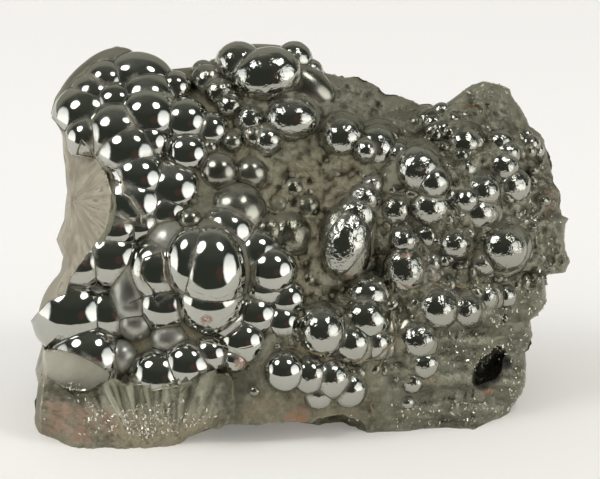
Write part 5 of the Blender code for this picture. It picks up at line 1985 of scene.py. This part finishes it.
def crystal_tree():
    """Geometry Nodes: a small crystal on each point."""
    tree, given, keys = start_group("small crystals", {"Points": "Geometry", "Finish": "Material"})
    points = tree.add("GeometryNodeMeshToPoints", {"Mesh": given["Points"]})["Points"]
    crystal = tree.add("GeometryNodeMeshCube", {"Size": (1.0, 1.0, 1.0)})["Mesh"]
    placed = tree.add("GeometryNodeInstanceOnPoints", {
        "Points": points, "Instance": crystal, "Rotation": named(tree, "turns"),
        "Scale": named(tree, "half_sizes")})["Instances"]
    end_group(tree, placed, given["Finish"])
    return tree.tree, keys


def glittering_crystals():
    """Small crystals on the broken rock as one piece."""
    draw = np.random.default_rng(CRYSTAL_SEED)
    points = points_of(rock.data)
    places = to_front(points)
    mask = spot_mask(places, CRYSTAL_SPOTS, CRYSTALS_RAGGED)
    mask[behind_rim(places) > CRYSTALS_IN_FRONT] = 0.0
    mask[points[:, 2] < LOWEST_CRYSTAL * MM] = 0.0
    chosen = draw.choice(len(points), CRYSTALS, False, mask / mask.sum())
    cloud = object_from_arrays("hematite_crystals", points[chosen])
    sizes = draw.uniform(*CRYSTAL_SIZES, CRYSTALS)[:, None] * CRYSTAL_SHAPE
    write_numbers(cloud.data, "half_sizes", sizes * MM, "FLOAT_VECTOR")
    write_numbers(cloud.data, "turns", draw.uniform(0.0, math.tau, (CRYSTALS, 3)), "FLOAT_VECTOR")
    material, tree, shader = new_material("hematite_crystal")
    tree.feed(shader, {
        "Base Color": CRYSTAL_TONE, "Metallic": CRYSTAL_METAL, "Roughness": CRYSTAL_ROUGHNESS})
    return grown(cloud, crystal_tree(), Finish=material)


crystals = glittering_crystals()
print("crystals of", len(crystals.data.polygons), "faces")

# %% [markdown]
# The rock is shaded smooth with its creases kept sharp. Each piece then rides on the one body of the
# model and stands for its one node.

# %% Shading and riding
PIECES = (rock, domes_left, domes_middle, domes_right, edges_of_skin, crystals)
rock.data.shade_smooth()
rock.data.set_sharp_from_angle(angle=math.radians(SHARP_ANGLE))
edges_of_skin.data.shade_smooth()
for piece in PIECES:
    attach(piece, "root")
    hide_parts("hematite_specimen")
    piece.data.calc_loop_triangles()
    print(piece.name, len(piece.data.loop_triangles), "triangles")

# %% [markdown]
# The floor is plain and pale, with painted shade near the viewer and a painted glow far off. Mirrors
# show what stands around them: the table ends about 15 centimetres in front of the lump, and beyond
# that the room is dark. The floor further out is there for the eye but not for the mirrors.

# %% Floor
FLOOR_FAR = (0.86, 0.85, 0.835, 1)
# Painted shade: the floor is darker near the viewer and to the right
FLOOR_PAINTED_SHADE = (0.76, 0.745, 0.705, 1)
FLOOR_TURNS = (-0.06, 0.1)
# Painted light: the floor glows, dimly near the lump and more brightly far off
FLOOR_PAINTED_GLOW = 0.6
GLOW_NEAR = (0.26, 0.255, 0.245, 1)
GLOW_FAR = (0.85, 0.845, 0.825, 1)
GLOW_TURNS = (0.45, 1.1)
TABLE_EDGE_Y = -0.16
FLOOR_REACH = 18.0
FLOOR_SLANT = 0.5
FLOOR_ROUGHNESS = 0.9


def floor_paint():
    """Pale paint, darker near the viewer as painted shade, with a painted glow far off."""
    material, tree, shader = new_material("floor")
    place = tree.add("ShaderNodeTexCoord")["Object"]
    parts = tree.add("ShaderNodeSeparateXYZ", {"Vector": place})
    far = step_up(tree, parts["Y"] - parts["X"] * FLOOR_SLANT, *FLOOR_TURNS)
    away = tree.add("ShaderNodeVectorMath", {0: place}, operation="LENGTH")["Value"]
    tree.feed(shader, {
        "Base Color": mixed(tree, far, FLOOR_PAINTED_SHADE, FLOOR_FAR),
        "Emission Color": mixed(tree, step_up(tree, away, *GLOW_TURNS), GLOW_NEAR, GLOW_FAR),
        "Emission Strength": FLOOR_PAINTED_GLOW, "Roughness": FLOOR_ROUGHNESS})
    return material


def floor_plane(name, near_y, far_y, paint_of_floor):
    """A flat piece of floor."""
    corners = ((-FLOOR_REACH, near_y, 0.0), (FLOOR_REACH, near_y, 0.0),
               (FLOOR_REACH, far_y, 0.0), (-FLOOR_REACH, far_y, 0.0))
    plane = object_from_arrays(name, corners, [(0, 1, 2, 3)])
    paint(plane, paint_of_floor)
    return plane


pale_paint = floor_paint()
floor_plane("floor", TABLE_EDGE_Y, FLOOR_REACH, pale_paint)
floor_plane("floor_outer", -FLOOR_REACH, TABLE_EDGE_Y, pale_paint).visible_glossy = False
print("floor from", -FLOOR_REACH, "to", FLOOR_REACH)

# %% [markdown]
# Four round diffusers light the lump: a large one at each side, and two small ones above. Each is
# given by its angles to the right and up from the camera's own direction. They are glowing discs
# that the camera doesn't see.

# %% Diffusers
# Name, degrees to the right, degrees up, angular radius, distance in metres, brightness
DIFFUSERS = (
    ("left", -86, 4, 28, 0.7, 2.5),
    ("right", 63, 4, 29, 0.7, 2.5),
    ("upper left", -50, 43, 14.5, 0.8, 7.5),
    ("upper right", 41, 49, 11, 0.8, 7.5),
)

LAMP_SIDES = 48
LAMP_CORE = 0.68
LAMP_FADES_DOWN = 0.4
LAMP_TOP = (0.42, 0.45, 0.47, 1)
LAMP_BOTTOM = (1, 0.99, 0.97, 1)
NO_LIGHT = (0, 0, 0, 1)


def studio_direction(right, up):
    """A direction given by its angles to the right and up from the camera's own."""
    towards = (math.cos(up) * math.sin(right), math.sin(up), math.cos(up) * math.cos(right))
    return Vector(np.array(towards) @ FRONT_AXES)


def lamp_material(name, centre, size, brightness):
    """A glow that is cooler at the top and fades towards the edge."""
    material = bpy.data.materials.new(name)
    material.use_nodes = True
    material.node_tree.nodes.clear()
    tree = Tree(material.node_tree)
    place = tree.add("ShaderNodeTexCoord")["Object"]
    upright = {0: place, 1: Vector(ALONG_V)}
    height = tree.add("ShaderNodeVectorMath", upright, operation="DOT_PRODUCT")["Value"]
    middle = centre.dot(Vector(ALONG_V))
    lower = step_up(tree, height, middle + size, middle - size * LAMP_FADES_DOWN)
    away = tree.add("ShaderNodeVectorMath", {0: place, 1: centre}, operation="DISTANCE")["Value"]
    inside = step_up(tree, away, size, size * LAMP_CORE)
    colour = mixed(tree, inside, NO_LIGHT, mixed(tree, lower, LAMP_TOP, LAMP_BOTTOM))
    glow = tree.add("ShaderNodeEmission", {"Color": colour, "Strength": brightness})["Emission"]
    tree.add("ShaderNodeOutputMaterial", {"Surface": glow})
    return material


def diffuser(name, right, up, radius, distance, brightness):
    """A glowing disc that faces the lump."""
    direction = studio_direction(math.radians(right), math.radians(up))
    centre = aim + direction * distance
    size = distance * math.tan(math.radians(radius))
    turn = direction.to_track_quat("-Z", "Y").to_matrix().to_4x4()
    disc = cutter_object(
        f"diffuser_{name.replace(' ', '_')}",
        lambda bm: bmesh.ops.create_circle(bm, cap_ends=True, segments=LAMP_SIDES, radius=size),
        Matrix.Translation(centre) @ turn)
    bpy.context.scene.collection.objects.link(disc)
    paint(disc, lamp_material(disc.name, centre, size, brightness))
    disc.visible_camera = False
    disc.visible_shadow = False


for row in DIFFUSERS:
    diffuser(*row)
print(len(DIFFUSERS), "diffusers")

# %% [markdown]
# The room itself: pale to the eye, a soft even glow for matte surfaces, and for mirrors dark in front
# and pale behind, where the backdrop is.

# %% Room
BACKDROP = (0.95, 0.94, 0.905, 1)
BACKDROP_RIGHT = (0.87, 0.855, 0.82, 1)
MIRRORED_BACKDROP = (0.34, 0.34, 0.28, 1)
CEILING = (0.09, 0.098, 0.08, 1)
DARK_ROOM = (0.054, 0.06, 0.05, 1)
RED_CURTAIN = (0.115, 0.066, 0.056, 1)
# Degrees to the right and up from the camera's own direction, and how wide the curtain looks
CURTAIN_PLACE = (26, -3, 16)
FILL = (0.62, 0.61, 0.59, 1)
# Where the room turns from one colour to the next, along X, Y or Z
BEHIND, OVERHEAD, TO_THE_RIGHT = (0.25, 0.6), (0.45, 0.95), (-0.05, 0.06)


def light_room():
    """The world's shader."""
    world = bpy.data.worlds.new("room")
    bpy.context.scene.world = world
    world.use_nodes = True
    world.cycles.sampling_method = "NONE"
    tree = Tree(world.node_tree)
    direction = tree.add("ShaderNodeTexCoord")["Generated"]
    parts = tree.add("ShaderNodeSeparateXYZ", {"Vector": direction})
    path = tree.add("ShaderNodeLightPath")
    right, up, width = (math.radians(angle) for angle in CURTAIN_PLACE)
    towards = {0: direction, 1: studio_direction(right, up)}
    nearness = tree.add("ShaderNodeVectorMath", towards, operation="DOT_PRODUCT")["Value"]
    mirrored = painted(tree, DARK_ROOM, (
        (step_up(tree, parts["Z"], *OVERHEAD), CEILING),
        (step_up(tree, parts["Y"], *BEHIND), MIRRORED_BACKDROP),
        (step_up(tree, nearness, math.cos(width), math.cos(width / 2.0)), RED_CURTAIN)))
    seen = mixed(tree, step_up(tree, parts["X"], *TO_THE_RIGHT), BACKDROP, BACKDROP_RIGHT)
    colour = painted(tree, FILL, ((path["Is Glossy Ray"], mirrored), (path["Is Camera Ray"], seen)))
    tree.feed(world.node_tree.nodes["Background"], {"Color": colour})


light_room()
bpy.context.scene.view_settings.view_transform = "Standard"
print("room lit")
